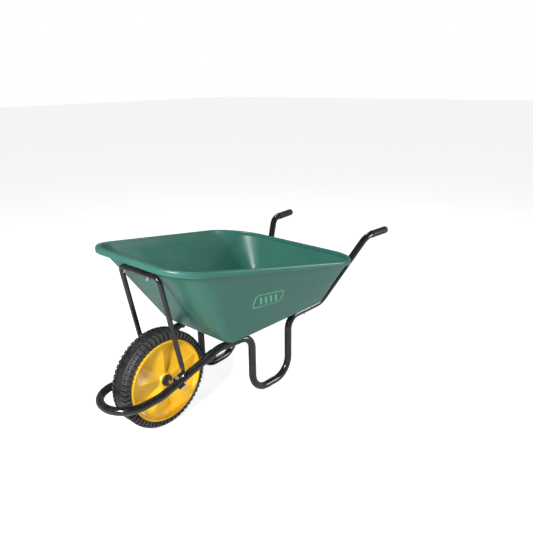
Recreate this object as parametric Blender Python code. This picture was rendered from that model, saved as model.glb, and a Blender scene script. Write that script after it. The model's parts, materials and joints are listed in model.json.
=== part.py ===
"""A garden wheelbarrow: moulded tray, bent tube frame, front stay and one spoked wheel.

Metres, +Z up, +X forward (towards the wheel), +Y to the operator's left. The origin is on the
ground, in the middle of the barrow's length. The wheel turns about the axle, which runs along Y.
"""

import math

import bmesh
import bpy
from mathutils import Matrix, Vector

GAP = 0.0003  # clearance left between pieces that touch

# Wheel and axle
AXLE_X = 0.4735
WHEEL_RADIUS = 0.200
RIM_RADIUS = 0.1675
RIM_HALF_WIDTH = 0.050
TYRE_HALF_WIDTH = 0.046
LUGS = 60
SPOKES = 5
SPOKE_PHASE = math.radians(87)
SPOKE_FOLD = (
    (0.00, 0.0),
    (0.16, 0.22),
    (0.32, 0.45),
    (0.46, 0.66),
    (0.58, 1.0),
    (0.72, 0.67),
    (0.86, 0.33),
)  # fraction of the way to the next spoke, and depth from ridge (0) to valley (1)
AXLE_RADIUS = 0.007
AXLE_Z = WHEEL_RADIUS
TAB_LENGTH, TAB_WIDTH = 0.026, 0.034  # flattened axle ends under the rails
RUNNING_GAP = 0.0004
BUSH_HALF_WIDTH = 0.049
BUSH_FLANGE = 0.008
BUSH_FLANGE_RADIUS = 0.021
BUSH_BORE_RADIUS = 0.0145
BUSH_INNER_Y = 0.012

# Frame tube
TUBE_RADIUS = 0.016
TUBE_WALL = 0.002
TUBE_SIDES = 12
RUN_Z = 0.296  # centre height of the stretch under the tray
RAIL_Y = 0.1174  # half spacing of the tubes at the axle
HOOP_Y = 0.105
HOOP_Z = 0.189
HOOP_TIP_X = 0.257  # ahead of the axle
HOOP_TAPER_LENGTH = 0.10  # the rails close in from RAIL_Y to HOOP_Y over this
HANDLE_END = (-1.209, 0.303, 0.597)  # corner points of a side tube: x from the axle, y, z
HANDLE_BEND = (-1.053, 0.291, 0.597)
RUN_REAR_X, RUN_REAR_Y = -0.835, 0.180
LEG_REAR_X, LEG_REAR_Y = -0.598, 0.173
LEG_FRONT_X, LEG_FRONT_Y = -0.366, 0.163
SIDE_TUBE_RADII = (0.072, 0.055, 0.060, 0.088, 0.088, 0.060, 0.100)  # of its bends, from the handle
SIDE_TUBE_STEPS = (4, 4, 5, 6, 6, 5, 2)
HOOP_RADII = (0.11, 0.104, 0.104, 0.11)
HOOP_STEPS = (3, 8, 8, 3)
RAIL_SLOPE = math.radians(21.5)
RAIL_Z = AXLE_Z + 0.0202  # tube centre straight above the axle
JOINT_X = -0.165  # where the hoop's socket meets the side tubes, from the axle
SOCKET_RADIUS = 0.0185
SOCKET_LENGTH = 0.050
SOCKET_DEPTH = 0.042
SOCKET_END_GAP = 0.002
SOCKET_BORE_RADIUS = (TUBE_RADIUS + GAP) / math.cos(math.pi / 16)

# Tray: floor corners and rim corners, x from the axle
WALL = 0.004
STRAP_THICKNESS = 0.003
TRAY_BOTTOM_Z = RUN_Z + TUBE_RADIUS + GAP + STRAP_THICKNESS + GAP
FLOOR_FRONT_X, FLOOR_REAR_X = -0.197, -0.8095
FLOOR_FRONT_Y, FLOOR_REAR_Y = 0.190, 0.2174
FLOOR_FRONT_CORNER, FLOOR_REAR_CORNER = 0.040, 0.032
RIM_FRONT_X, RIM_REAR_X = 0.101, -0.875
RIM_FRONT_Y, RIM_REAR_Y = 0.275, 0.436
RIM_FRONT_CORNER, RIM_REAR_CORNER = 0.136, 0.185
RIM_FRONT_Z, RIM_REAR_Z = 0.722, 0.551
LIP_FRONT, LIP_SIDE = 0.022, 0.003  # how far the rim stands out from the wall
LIP = (LIP_FRONT, LIP_SIDE, LIP_SIDE)
LIP_THICKNESS = 0.006
WALL_INSET = (0.0050, 0.0048, 0.0042)  # the wall's thickness measured level, front, side, rear
WALL_LOW, WALL_HIGH = 0.105, 0.92  # shares of the tray's height between which the wall is flat
LIP_DROP = 0.017
FLOOR_CURVE = (
    (0.0, (0.056, 0.016, 0.016)),
    (0.007, (0.032, 0.0065, 0.0065)),
    (0.028, (0.0145, 0.001, 0.001)),
)  # the rounding under the walls, gentler at the front: rise, and how far in front, side and rear
CORNER_STEPS = 6

# Front stay
STAY_RADIUS = 0.010
STAY_HALF_WIDTH = 0.1145
STAY_TOP_Z = 0.667
STAY_BOLT_Y = 0.069
STAY_KNEE_X = -0.030
STAY_BEND = 0.024
FRONT_WALL_THICKNESS = 0.0044  # square to the wall, at the bolts
FOOT_THICKNESS = 0.005
FOOT_WIDTH = 0.024
FOOT_REAR_X, FOOT_FRONT_X = -0.041, 0.016  # along the rail, from the axle bolt

# Fasteners
BOLT_RADIUS = 0.004
HOLE_RADIUS = BOLT_RADIUS + 0.0004
HEAD_RADIUS = 0.0085
HEAD_HEIGHT = 0.0045
NUT_RADIUS = 0.0075
NUT_HEIGHT = 0.0065
SCREW_NUT_RADIUS, SCREW_NUT_HEIGHT = 0.0058, 0.005
SCREW_RADIUS = 0.003
SCREW_HOLE_RADIUS = SCREW_RADIUS + 0.0004
SCREW_HEAD_RADIUS = 0.0056
STRAPS = {"front": (-0.256, 0.052), "rear": (-0.715, 0.034)}  # middle, from the axle, and width
TRAY_BOLT_BACK = {"front": 0.013, "rear": 0.0}  # behind the strap's middle
STRAP_OVERHANG = 0.020
TRAY_BOLT_INBOARD = 0.042  # from the tube's centre line

GRIP_RADIUS = 0.0176
GRIP_LENGTH = 0.115

LEFT, RIGHT = 1, -1
DOWN = Vector((0, 0, -1))
SIDE_NAMES = {LEFT: "left", RIGHT: "right"}


def clear_scene():
    for obj in list(bpy.data.objects):
        bpy.data.objects.remove(obj, do_unlink=True)


def material(name, colour, roughness, metallic=0.0):
    made = bpy.data.materials.new(name)
    made.use_nodes = True
    shader = made.node_tree.nodes["Principled BSDF"]
    shader.inputs["Base Color"].default_value = (*colour, 1.0)
    shader.inputs["Roughness"].default_value = roughness
    shader.inputs["Metallic"].default_value = metallic
    return made


def new_object(name, mesh, look, smooth_angle=40):
    """Puts a mesh in the scene under a name, with a material of its own."""
    obj = bpy.data.objects.new(name, mesh)
    bpy.context.scene.collection.objects.link(obj)
    mesh.materials.clear()
    mesh.materials.append(material(name, *look))
    mesh.shade_smooth()
    mesh.set_sharp_from_angle(angle=math.radians(smooth_angle))
    return obj


def mesh_from(bm, name):
    bmesh.ops.recalc_face_normals(bm, faces=bm.faces)
    mesh = bpy.data.meshes.new(name)
    bm.to_mesh(mesh)
    bm.free()
    return mesh


def skin_loops(bm, loops, closed_ring=False):
    """Joins loops of equal length with quads. An open stack is capped at both ends."""
    rings = [[bm.verts.new(point) for point in loop] for loop in loops]
    pairs = list(zip(rings, rings[1:]))
    if closed_ring:
        pairs.append((rings[-1], rings[0]))
    for low, high in pairs:
        for i in range(len(low)):
            j = (i + 1) % len(low)
            bm.faces.new((low[i], low[j], high[j], high[i]))
    if not closed_ring:
        bm.faces.new(rings[0])
        bm.faces.new(rings[-1])


def cut(obj, cutters):
    for cutter in cutters:
        cutter.hide_render = True
        cutter.display_type = "WIRE"
        drill = obj.modifiers.new("cut_" + cutter.name, "BOOLEAN")
        drill.operation = "DIFFERENCE"
        drill.object = cutter


def unite(obj, tool):
    tool.hide_render = True
    tool.display_type = "WIRE"
    join = obj.modifiers.new("join_" + tool.name, "BOOLEAN")
    join.operation = "UNION"
    join.object = tool


def cylinder(name, start, end, radius, sides=12, look=((0.5, 0.5, 0.5), 0.5)):
    """A rod from start to end."""
    start, end = Vector(start), Vector(end)
    along = end - start
    bm = bmesh.new()
    bmesh.ops.create_cone(
        bm, cap_ends=True, segments=sides, radius1=radius, radius2=radius, depth=along.length
    )
    turn = along.to_track_quat("Z", "Y").to_matrix().to_4x4()
    bmesh.ops.transform(bm, matrix=Matrix.Translation((start + end) / 2) @ turn, verts=bm.verts)
    return new_object(name, mesh_from(bm, name), look)


def fillet(points, radii, steps):
    """The path through the points with each inner corner rounded to its radius."""
    path = [Vector(points[0])]
    for before, corner, after, radius, count in zip(points, points[1:], points[2:], radii, steps):
        corner = Vector(corner)
        back = (Vector(before) - corner).normalized()
        ahead = (Vector(after) - corner).normalized()
        half = back.angle(ahead) / 2
        reach = radius / math.tan(half)
        centre = corner + (back + ahead).normalized() * (radius / math.sin(half))
        start = corner + back * reach - centre
        end = corner + ahead * reach - centre
        sweep = start.angle(end)
        for i in range(count + 1):
            part = sweep * i / count
            mix = start * math.sin(sweep - part) + end * math.sin(part)
            path.append(centre + mix / math.sin(sweep))
    path.append(Vector(points[-1]))
    return path


def pipe_mesh(name, path, radius, sides, wall=0.0):
    """A tube along a path: open at both ends with a wall thickness, or a solid rod without one."""
    curve = bpy.data.curves.new(name, "CURVE")
    curve.dimensions = "3D"
    curve.bevel_depth = radius
    curve.bevel_resolution = (sides - 4) // 2
    curve.use_fill_caps = wall == 0.0
    spline = curve.splines.new("POLY")
    spline.points.add(len(path) - 1)
    for point, place in zip(spline.points, path):
        point.co = (*place, 1.0)
    guide = bpy.data.objects.new(name + "_guide", curve)
    bpy.context.scene.collection.objects.link(guide)
    if wall:
        shell = guide.modifiers.new("wall", "SOLIDIFY")
        shell.thickness = wall
        shell.offset = -1
    graph = bpy.context.evaluated_depsgraph_get()
    mesh = bpy.data.meshes.new_from_object(guide.evaluated_get(graph))
    bpy.data.objects.remove(guide, do_unlink=True)
    bm = bmesh.new()
    bm.from_mesh(mesh)
    bmesh.ops.remove_doubles(bm, verts=bm.verts, dist=1e-6)
    return mesh_from(bm, name)


def at(x, y, z):
    """A point given from the axle along X."""
    return Vector((AXLE_X + x, y, z))


def rail_y(x):
    """Half spacing of the rails beside the wheel, x from the axle."""
    return RAIL_Y + (HOOP_Y - RAIL_Y) * x / HOOP_TAPER_LENGTH


def rail_point(x, side, lift=0.0):
    """A point on the rail's centre line, x along the level, lifted square to the tube."""
    up = Vector((math.sin(RAIL_SLOPE), 0, math.cos(RAIL_SLOPE)))
    return at(x, side * rail_y(x), RAIL_Z - x * math.tan(RAIL_SLOPE)) + up * lift


# Looks: colour, roughness, metallic
BLACK_PAINT = ((0.022, 0.022, 0.026), 0.32)
GREEN_PLASTIC = ((0.075, 0.25, 0.19), 0.38)
YELLOW_PLASTIC = ((0.87, 0.50, 0.022), 0.38)
RUBBER = ((0.028, 0.028, 0.030), 0.7)
GRIP_RUBBER = ((0.016, 0.016, 0.018), 0.6)
BLACK_PLASTIC = ((0.02, 0.02, 0.02), 0.45)
ZINC = ((0.62, 0.63, 0.64), 0.35, 1.0)


# Frame


def side_tube_points(side):
    """Corner points of one side tube, from the handle's end to the hoop's socket."""
    run_front_x = (RAIL_Z - RUN_Z) / math.tan(RAIL_SLOPE)
    corners = (
        HANDLE_END,
        HANDLE_BEND,
        (RUN_REAR_X, RUN_REAR_Y, RUN_Z),
        (LEG_REAR_X, LEG_REAR_Y, RUN_Z),
        (LEG_REAR_X, LEG_REAR_Y, TUBE_RADIUS),
        (LEG_FRONT_X, LEG_FRONT_Y, TUBE_RADIUS),
        (LEG_FRONT_X, LEG_FRONT_Y, RUN_Z),
        (run_front_x, rail_y(run_front_x), RUN_Z),
    )
    points = [at(x, side * y, z) for x, y, z in corners]
    return points + [rail_point(JOINT_X + SOCKET_DEPTH - SOCKET_END_GAP, side)]


def run_y(x):
    """Half spacing of the side tubes' level stretches under the tray, x from the axle."""
    points = side_tube_points(LEFT)
    for behind, ahead in ((points[2], points[3]), (points[6], points[7])):
        if behind.x <= AXLE_X + x <= ahead.x:
            part = (AXLE_X + x - behind.x) / (ahead.x - behind.x)
            return behind.y + (ahead.y - behind.y) * part
    raise ValueError("the tubes don't run level there")


def build_side_tube(side):
    path = fillet(side_tube_points(side), SIDE_TUBE_RADII, SIDE_TUBE_STEPS)
    name = "frame_tube_" + SIDE_NAMES[side]
    tube = new_object(name, pipe_mesh(name, path, TUBE_RADIUS, TUBE_SIDES, TUBE_WALL), BLACK_PAINT)
    cut(tube, [strap_screw_drill(name, place, side) for place in STRAPS])
    return tube


def build_front_hoop():
    """The tube bent round the front of the wheel, with a wider socket at each end."""
    level_x = (RAIL_Z - HOOP_Z) / math.tan(RAIL_SLOPE)
    points = [
        rail_point(JOINT_X, LEFT),
        at(level_x, HOOP_Y, HOOP_Z),
        at(HOOP_TIP_X, HOOP_Y, HOOP_Z),
        at(HOOP_TIP_X, -HOOP_Y, HOOP_Z),
        at(level_x, -HOOP_Y, HOOP_Z),
        rail_point(JOINT_X, RIGHT),
    ]
    path = fillet(points, HOOP_RADII, HOOP_STEPS)
    name = "front_hoop"
    hoop = new_object(name, pipe_mesh(name, path, TUBE_RADIUS, TUBE_SIDES), BLACK_PAINT)
    bore = pipe_mesh("hoop_bore", path, TUBE_RADIUS - TUBE_WALL, TUBE_SIDES)
    cutters = [new_object("hoop_bore", bore, ZINC)]
    for side in (LEFT, RIGHT):
        start = rail_point(JOINT_X, side)
        socket_name = "socket_" + SIDE_NAMES[side]
        end = rail_point(JOINT_X + SOCKET_LENGTH, side)
        unite(hoop, cylinder(socket_name, start, end, SOCKET_RADIUS, 16))
        mouth = rail_point(JOINT_X - SOCKET_DEPTH, side)
        depth = rail_point(JOINT_X + SOCKET_DEPTH, side)
        cutters.append(cylinder(socket_name + "_bore", mouth, depth, SOCKET_BORE_RADIUS, 16))
        above = rail_point(0, side, 2 * TUBE_RADIUS)
        below = rail_point(0, side, -2 * TUBE_RADIUS)
        cutters.append(cylinder(name + "_hole_" + SIDE_NAMES[side], above, below, HOLE_RADIUS, 10))
    cut(hoop, cutters)
    return hoop


def tray_bolt_place(place, side, z=0.0):
    x = STRAPS[place][0] - TRAY_BOLT_BACK[place]
    return at(x, side * (run_y(x) - TRAY_BOLT_INBOARD), z)


def tray_bolt_drill(owner, place, side):
    """Clears a tray bolt from above the tray's floor to below the strap."""
    top = tray_bolt_place(place, side, TRAY_BOTTOM_Z + 3 * WALL)
    low = tray_bolt_place(place, side, TRAY_BOTTOM_Z - 4 * STRAP_THICKNESS)
    return cylinder(f"{owner}_drill_{place}_{SIDE_NAMES[side]}", low, top, HOLE_RADIUS, 10)


def strap_screw_place(place, side, z=0.0):
    x = STRAPS[place][0]
    return at(x, side * run_y(x), z)


def strap_screw_drill(owner, place, side):
    """Clears a countersunk screw through the tube below a strap."""
    top = strap_screw_place(place, side, RUN_Z + 2 * TUBE_RADIUS)
    low = strap_screw_place(place, side, RUN_Z - 2 * TUBE_RADIUS)
    name = f"{owner}_screw_drill_{place}_{SIDE_NAMES[side]}"
    return cylinder(name, low, top, SCREW_HOLE_RADIUS, 10)


def turned(name, place, direction, outline, sides, look, closed_ring=False, smooth=30):
    """A piece turned about a line: outline gives radius and distance along the direction."""
    turn = Vector(direction).to_track_quat("Z", "Y").to_matrix()
    loops = []
    for radius, along in outline:
        angles = [2 * math.pi * i / sides for i in range(sides)]
        ring = [Vector((radius * math.cos(a), radius * math.sin(a), along)) for a in angles]
        loops.append([Vector(place) + turn @ spot for spot in ring])
    bm = bmesh.new()
    skin_loops(bm, loops, closed_ring)
    return new_object(name, mesh_from(bm, name), look, smooth)


def build_strap(place):
    """A flat steel strap across both side tubes, under the tray's floor."""
    x, width = STRAPS[place]
    half = run_y(x) + STRAP_OVERHANG
    low = RUN_Z + TUBE_RADIUS + GAP
    bm = bmesh.new()
    bmesh.ops.create_cube(bm, size=1.0)
    size = Matrix.Diagonal((width, 2 * half, STRAP_THICKNESS, 1.0))
    middle = Matrix.Translation(at(x, 0, low + STRAP_THICKNESS / 2))
    bmesh.ops.transform(bm, matrix=middle @ size, verts=bm.verts)
    upright = [e for e in bm.edges if abs(e.verts[0].co.z - e.verts[1].co.z) > STRAP_THICKNESS / 2]
    bmesh.ops.bevel(bm, geom=upright, offset=0.006, segments=2, affect="EDGES", profile=0.5)
    name = place + "_strap"
    strap = new_object(name, mesh_from(bm, name), BLACK_PAINT)
    for side, word in SIDE_NAMES.items():
        sink = (
            (SCREW_HOLE_RADIUS, 2 * STRAP_THICKNESS),
            (SCREW_HOLE_RADIUS, STRAP_THICKNESS),
            (SCREW_HEAD_RADIUS + 3 * GAP, 0.0),
            (SCREW_HEAD_RADIUS + 3 * GAP, -STRAP_THICKNESS),
        )
        top = strap_screw_place(place, side, low + STRAP_THICKNESS)
        countersink = turned(f"{name}_sink_{word}", top, DOWN, sink, 12, ZINC)
        cut(strap, [countersink, tray_bolt_drill(name, place, side)])
    return strap


# Tray


def scaled(distances, factor):
    return tuple(distance * factor for distance in distances)


def tray_outline(rise, inset, dz=0.0):
    """A loop round the tray: rise 0 at the floor and 1 at the rim, moved in square to each side.

    inset is (front, side, rear). The rim slopes down to the rear, and the loops between tilt in
    proportion.
    """

    def mix(low, high):
        return low + (high - low) * rise

    front_in, side_in, rear_in = inset
    front = mix(FLOOR_FRONT_X, RIM_FRONT_X)
    rear = mix(FLOOR_REAR_X, RIM_REAR_X)
    front_y = mix(FLOOR_FRONT_Y, RIM_FRONT_Y)
    rear_y = mix(FLOOR_REAR_Y, RIM_REAR_Y)
    lean = math.atan2(rear_y - front_y, front - rear)
    side_shift = side_in / math.cos(lean)

    def side_y(x):
        return front_y + (front - x) * math.tan(lean) - side_shift

    front_radius = max(mix(FLOOR_FRONT_CORNER, RIM_FRONT_CORNER) - (front_in + side_in) / 2, 0.01)
    rear_radius = max(mix(FLOOR_REAR_CORNER, RIM_REAR_CORNER) - (rear_in + side_in) / 2, 0.01)
    quarter = []
    for edge, radius, start, end, forward in (
        (front - front_in, front_radius, 0, math.pi / 2 - lean, -1),
        (rear + rear_in, rear_radius, math.pi / 2 - lean, math.pi, 1),
    ):
        centre_x = edge + forward * radius
        centre_y = side_y(centre_x) - radius / math.cos(lean)
        for i in range(CORNER_STEPS + 1):
            turn = start + (end - start) * i / CORNER_STEPS
            quarter.append((centre_x + radius * math.cos(turn), centre_y + radius * math.sin(turn)))
    flat = quarter + [(x, -y) for x, y in reversed(quarter)]
    slope = (RIM_FRONT_Z - RIM_REAR_Z) / (RIM_FRONT_X - RIM_REAR_X)
    loop = []
    for x, y in flat:
        top = RIM_FRONT_Z + (x - front) * slope
        loop.append(at(x, y, TRAY_BOTTOM_Z + (top - TRAY_BOTTOM_Z) * rise + dz))
    return loop


def build_tray():
    """An open moulded tub: outer wall, turned-down front lip, bead, and the inner wall."""

    def all_round(distance):
        return (distance, distance, distance)

    skirt_inside = scaled(LIP, 0.35)
    inner_top = (LIP_FRONT + WALL, 0.013, 0.013)
    low_lip, high_lip = scaled(LIP, WALL_LOW), scaled(LIP, WALL_HIGH)
    low_inner = [lip + wall for lip, wall in zip(low_lip, WALL_INSET)]
    high_inner = [lip + wall for lip, wall in zip(high_lip, WALL_INSET)]
    loops = [tray_outline(rise, inset) for rise, inset in FLOOR_CURVE]
    loops += [
        tray_outline(WALL_LOW, low_lip),
        tray_outline(WALL_HIGH, high_lip),
        tray_outline(1, LIP, -LIP_THICKNESS),
        tray_outline(1, skirt_inside, -LIP_THICKNESS),
        tray_outline(1, skirt_inside, -LIP_DROP),
        tray_outline(1, all_round(0), -LIP_DROP),
        tray_outline(1, all_round(0), -0.004),
        tray_outline(1, all_round(0.004), 0.001),
        tray_outline(1, all_round(0.011), 0.006),
        tray_outline(1, inner_top, 0.004),
        tray_outline(WALL_HIGH, high_inner),
        tray_outline(WALL_LOW, low_inner, WALL / 2),
    ]
    for rise, inset in reversed(FLOOR_CURVE):
        loops.append(tray_outline(rise, [distance + WALL for distance in inset], WALL))
    bm = bmesh.new()
    skin_loops(bm, loops)
    tray = new_object("tray", mesh_from(bm, "tray"), GREEN_PLASTIC, 30)
    cutters = [tray_bolt_drill("tray", place, side) for place in STRAPS for side in SIDE_NAMES]
    for side in SIDE_NAMES:
        start, end = (stay_bolt_point(side, reach) for reach in (-0.03, 0.03))
        cutters.append(cylinder("tray_stay_drill_" + SIDE_NAMES[side], start, end, HOLE_RADIUS, 10))
    cut(tray, cutters)
    return tray


# Front stay


def front_wall_frame():
    """Where the stay's top bar runs, and the front wall's outward direction."""
    low = tray_outline(WALL_LOW, scaled(LIP, WALL_LOW))[0]
    top = tray_outline(WALL_HIGH, scaled(LIP, WALL_HIGH))[0]
    low.y = top.y = 0
    up = (top - low).normalized()
    outward = Vector((up.z, 0, -up.x))
    touch = low + up * ((STAY_TOP_Z - low.z) / up.z)
    bar = touch + outward * (STAY_RADIUS + GAP)
    return bar, outward


def stay_bolt_point(side, reach):
    """A point on a stay bolt's line: reach 0 on the tray's outer face, positive ahead of it."""
    bar, outward = front_wall_frame()
    return bar + outward * (reach - STAY_RADIUS) + Vector((0, side * STAY_BOLT_Y, 0))


def build_stay():
    """A tube bent to a U that props the tray's front wall, with flattened feet on the rails."""
    bar, _ = front_wall_frame()
    foot_middle = TUBE_RADIUS + GAP + FOOT_THICKNESS / 2
    points = [
        rail_point(STAY_KNEE_X, LEFT, foot_middle),
        bar + Vector((0, STAY_HALF_WIDTH, 0)),
        bar - Vector((0, STAY_HALF_WIDTH, 0)),
        rail_point(STAY_KNEE_X, RIGHT, foot_middle),
    ]
    path = fillet(points, (STAY_BEND, STAY_BEND), (5, 5))
    name = "front_stay"
    stay = new_object(name, pipe_mesh(name, path, STAY_RADIUS, TUBE_SIDES), BLACK_PAINT)
    cutters = []
    for side, word in SIDE_NAMES.items():
        reach = (FOOT_REAR_X, FOOT_FRONT_X)
        unite(stay, flat_plate("stay_foot_" + word, side, reach, FOOT_WIDTH, foot_middle))
        below = rail_point(0, side, 0)
        above = rail_point(0, side, 3 * TUBE_RADIUS)
        cutters.append(cylinder("stay_foot_drill_" + word, below, above, HOLE_RADIUS, 10))
        start, end = (stay_bolt_point(side, reach) for reach in (-0.01, 0.04))
        cutters.append(cylinder("stay_bar_drill_" + word, start, end, HOLE_RADIUS, 10))
    cut(stay, cutters)
    return stay


def flat_plate(name, side, reach, width, lift):
    """A flat plate along the rail, its middle lifted square to the tube."""
    rear, front = (rail_point(x, side, lift) for x in reach)
    bm = bmesh.new()
    bmesh.ops.create_cube(bm, size=1.0)
    size = Matrix.Diagonal(((front - rear).length, width, FOOT_THICKNESS, 1.0))
    along = (front - rear).normalized()
    up = rail_point(0, side, 1) - rail_point(0, side)
    turn = Matrix((along, up.cross(along), up)).transposed().to_4x4()
    place = Matrix.Translation((rear + front) / 2) @ turn
    bmesh.ops.transform(bm, matrix=place @ size, verts=bm.verts)
    return new_object(name, mesh_from(bm, name), BLACK_PAINT)


# Axle and wheel


def build_axle():
    """A rod across the wheel whose flattened ends lie under the rails."""
    name = "axle"
    rod_end = rail_y(0) - TAB_WIDTH / 2 + 0.0035
    axle = cylinder(name, at(0, -rod_end, AXLE_Z), at(0, rod_end, AXLE_Z), AXLE_RADIUS, 20, ZINC)
    cutters = []
    for side, word in SIDE_NAMES.items():
        tab_lift = -(TUBE_RADIUS + GAP + FOOT_THICKNESS / 2)
        tab = flat_plate("axle_tab_" + word, side, (-TAB_LENGTH / 2, TAB_LENGTH / 2), TAB_WIDTH, tab_lift)
        unite(axle, tab)
        top = rail_point(0, side, 0)
        low = rail_point(0, side, -3 * TUBE_RADIUS)
        cutters.append(cylinder("axle_drill_" + word, low, top, HOLE_RADIUS, 10))
    cut(axle, cutters)
    return axle


def ring_points(radius, y, count, phase=0.0):
    points = []
    for i in range(count):
        turn = phase + 2 * math.pi * i / count
        points.append(at(radius * math.cos(turn), y, AXLE_Z + radius * math.sin(turn)))
    return points


def wheel_columns():
    """Angles round the wheel, with how far each lies down from its ridge to the valley."""
    columns = []
    pitch = 2 * math.pi / SPOKES
    for spoke in range(SPOKES):
        for part, depth in SPOKE_FOLD:
            columns.append((SPOKE_PHASE - pitch * (spoke + part), depth))
    return columns


def wheel_ring(radius, ridge_y, valley_y, side):
    points = []
    for turn, depth in wheel_columns():
        y = ridge_y + (valley_y - ridge_y) * depth
        points.append(at(radius * math.cos(turn), side * y, AXLE_Z + radius * math.sin(turn)))
    return points


def build_wheel_centre():
    """A moulded disc, folded on both faces into ridges and valleys between boss and rim."""
    boss_y = BUSH_HALF_WIDTH - BUSH_FLANGE - GAP
    profile = (
        (BUSH_BORE_RADIUS, boss_y, boss_y),
        (0.028, boss_y, boss_y),
        (0.031, 0.036, 0.030),
        (0.060, 0.038, 0.020),
        (0.140, 0.041, 0.009),
        (0.158, 0.043, 0.024),
        (0.161, RIM_HALF_WIDTH, RIM_HALF_WIDTH),
        (RIM_RADIUS, RIM_HALF_WIDTH, RIM_HALF_WIDTH),
    )
    left = [wheel_ring(*ring, LEFT) for ring in profile]
    right = [wheel_ring(*ring, RIGHT) for ring in reversed(profile)]
    bm = bmesh.new()
    skin_loops(bm, left + right, closed_ring=True)
    return new_object("wheel_centre", mesh_from(bm, "wheel_centre"), YELLOW_PLASTIC, 12)


def build_tyre():
    """A solid rubber tyre: two rows of shoulder lugs either side of a smooth crown."""
    inner = (RIM_RADIUS + GAP) / math.cos(math.pi / (2 * LUGS))
    half = [
        (inner, 0.030, inner, 0.030),
        (inner, 0.040, inner, 0.040),
        (0.174, TYRE_HALF_WIDTH - 0.002, 0.174, TYRE_HALF_WIDTH - 0.002),
        (0.184, TYRE_HALF_WIDTH, 0.184, TYRE_HALF_WIDTH - 0.003),
        (0.195, 0.0415, 0.191, 0.0385),
        (WHEEL_RADIUS, 0.034, 0.1945, 0.033),
        (WHEEL_RADIUS, 0.023, 0.1945, 0.022),
        (WHEEL_RADIUS - 0.001, 0.010, WHEEL_RADIUS - 0.003, 0.010),
    ]
    loops = []
    for side in (LEFT, RIGHT):
        rows = half if side == LEFT else list(reversed(half))
        for lug_r, lug_y, gap_r, gap_y in rows:
            loop = []
            for i in range(2 * LUGS):
                radius, y = (gap_r, gap_y) if i % 2 else (lug_r, lug_y)
                turn = math.pi * i / LUGS - math.pi / 2
                loop.append(at(radius * math.cos(turn), side * y, AXLE_Z + radius * math.sin(turn)))
            loops.append(loop)
    bm = bmesh.new()
    skin_loops(bm, loops, closed_ring=True)
    return new_object("tyre", mesh_from(bm, "tyre"), RUBBER, 30)


def build_bush(side):
    """A flanged plain bearing pressed into one side of the wheel's boss."""
    bore = (AXLE_RADIUS + RUNNING_GAP) / math.cos(math.pi / 24)
    stem = BUSH_BORE_RADIUS - 2 * GAP
    flange_y = BUSH_HALF_WIDTH - BUSH_FLANGE
    outline = (
        (bore, BUSH_INNER_Y),
        (stem, BUSH_INNER_Y),
        (stem, flange_y),
        (BUSH_FLANGE_RADIUS, flange_y),
        (BUSH_FLANGE_RADIUS, BUSH_HALF_WIDTH - 0.003),
        (BUSH_FLANGE_RADIUS - 0.003, BUSH_HALF_WIDTH),
        (bore, BUSH_HALF_WIDTH),
    )
    bm = bmesh.new()
    skin_loops(bm, [ring_points(r, side * y, 24) for r, y in outline], closed_ring=True)
    name = "wheel_bush_" + SIDE_NAMES[side]
    return new_object(name, mesh_from(bm, name), BLACK_PLASTIC, 30)


# Fasteners and grips


def hexagon(obj, place, direction, radius, low, high):
    """Trims a round piece to six flats between two distances along its line."""
    turn = Vector(direction).to_track_quat("Z", "Y").to_matrix()
    for point in obj.data.vertices:
        local = turn.transposed() @ (point.co - Vector(place))
        reach = math.hypot(local.x, local.y)
        if low - 1e-6 <= local.z <= high + 1e-6 and reach > 0.9 * radius:
            angle = math.atan2(local.y, local.x)
            part = (angle + math.pi / 6) % (math.pi / 3) - math.pi / 6
            if abs(part) > math.pi / 12:
                scale = math.cos(math.pi / 6)
                point.co = Vector(place) + turn @ Vector((local.x * scale, local.y * scale, local.z))


def build_bolt(name, head_face, direction, length, hex_head=False):
    """A bolt whose head sits on head_face and whose shank runs along direction."""
    rise = -GAP
    outline = [(BOLT_RADIUS, length), (BOLT_RADIUS, rise)]
    if hex_head:
        outline += [(HEAD_RADIUS, rise), (HEAD_RADIUS, rise - HEAD_HEIGHT)]
    else:
        outline += [
            (HEAD_RADIUS * math.cos(swing), rise - HEAD_HEIGHT * math.sin(swing))
            for swing in (0, math.radians(40), math.radians(70))
        ]
    bolt = turned(name, head_face, direction, outline, 12, ZINC)
    if hex_head:
        hexagon(bolt, head_face, direction, HEAD_RADIUS, rise - HEAD_HEIGHT, rise)
    return bolt


def build_nut(name, face, direction, radius=NUT_RADIUS, height=NUT_HEIGHT, bore=HOLE_RADIUS):
    """A hexagon nut on a bolt's shank, starting at face and reaching along direction."""
    outline = ((bore, GAP), (radius, GAP), (radius, GAP + height), (bore, GAP + height))
    nut = turned(name, face, direction, outline, 12, ZINC, closed_ring=True)
    hexagon(nut, face, direction, radius, GAP, GAP + height)
    return nut


def build_strap_screw(place, side):
    """A countersunk screw through a strap and the tube under it, with its nut."""
    word = SIDE_NAMES[side]
    top = strap_screw_place(place, side, TRAY_BOTTOM_Z - GAP - 0.0002)
    under = strap_screw_place(place, side, RUN_Z - TUBE_RADIUS)
    length = (top - under).z + SCREW_NUT_HEIGHT + 0.003
    outline = (
        (SCREW_RADIUS, length),
        (SCREW_RADIUS, STRAP_THICKNESS),
        (SCREW_HEAD_RADIUS, 0.0002),
        (SCREW_HEAD_RADIUS, 0.0),
    )
    turned(f"strap_screw_{place}_{word}", top, DOWN, outline, 12, ZINC)
    nut_name = f"strap_nut_{place}_{word}"
    build_nut(nut_name, under, DOWN, SCREW_NUT_RADIUS, SCREW_NUT_HEIGHT, SCREW_HOLE_RADIUS)


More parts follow.
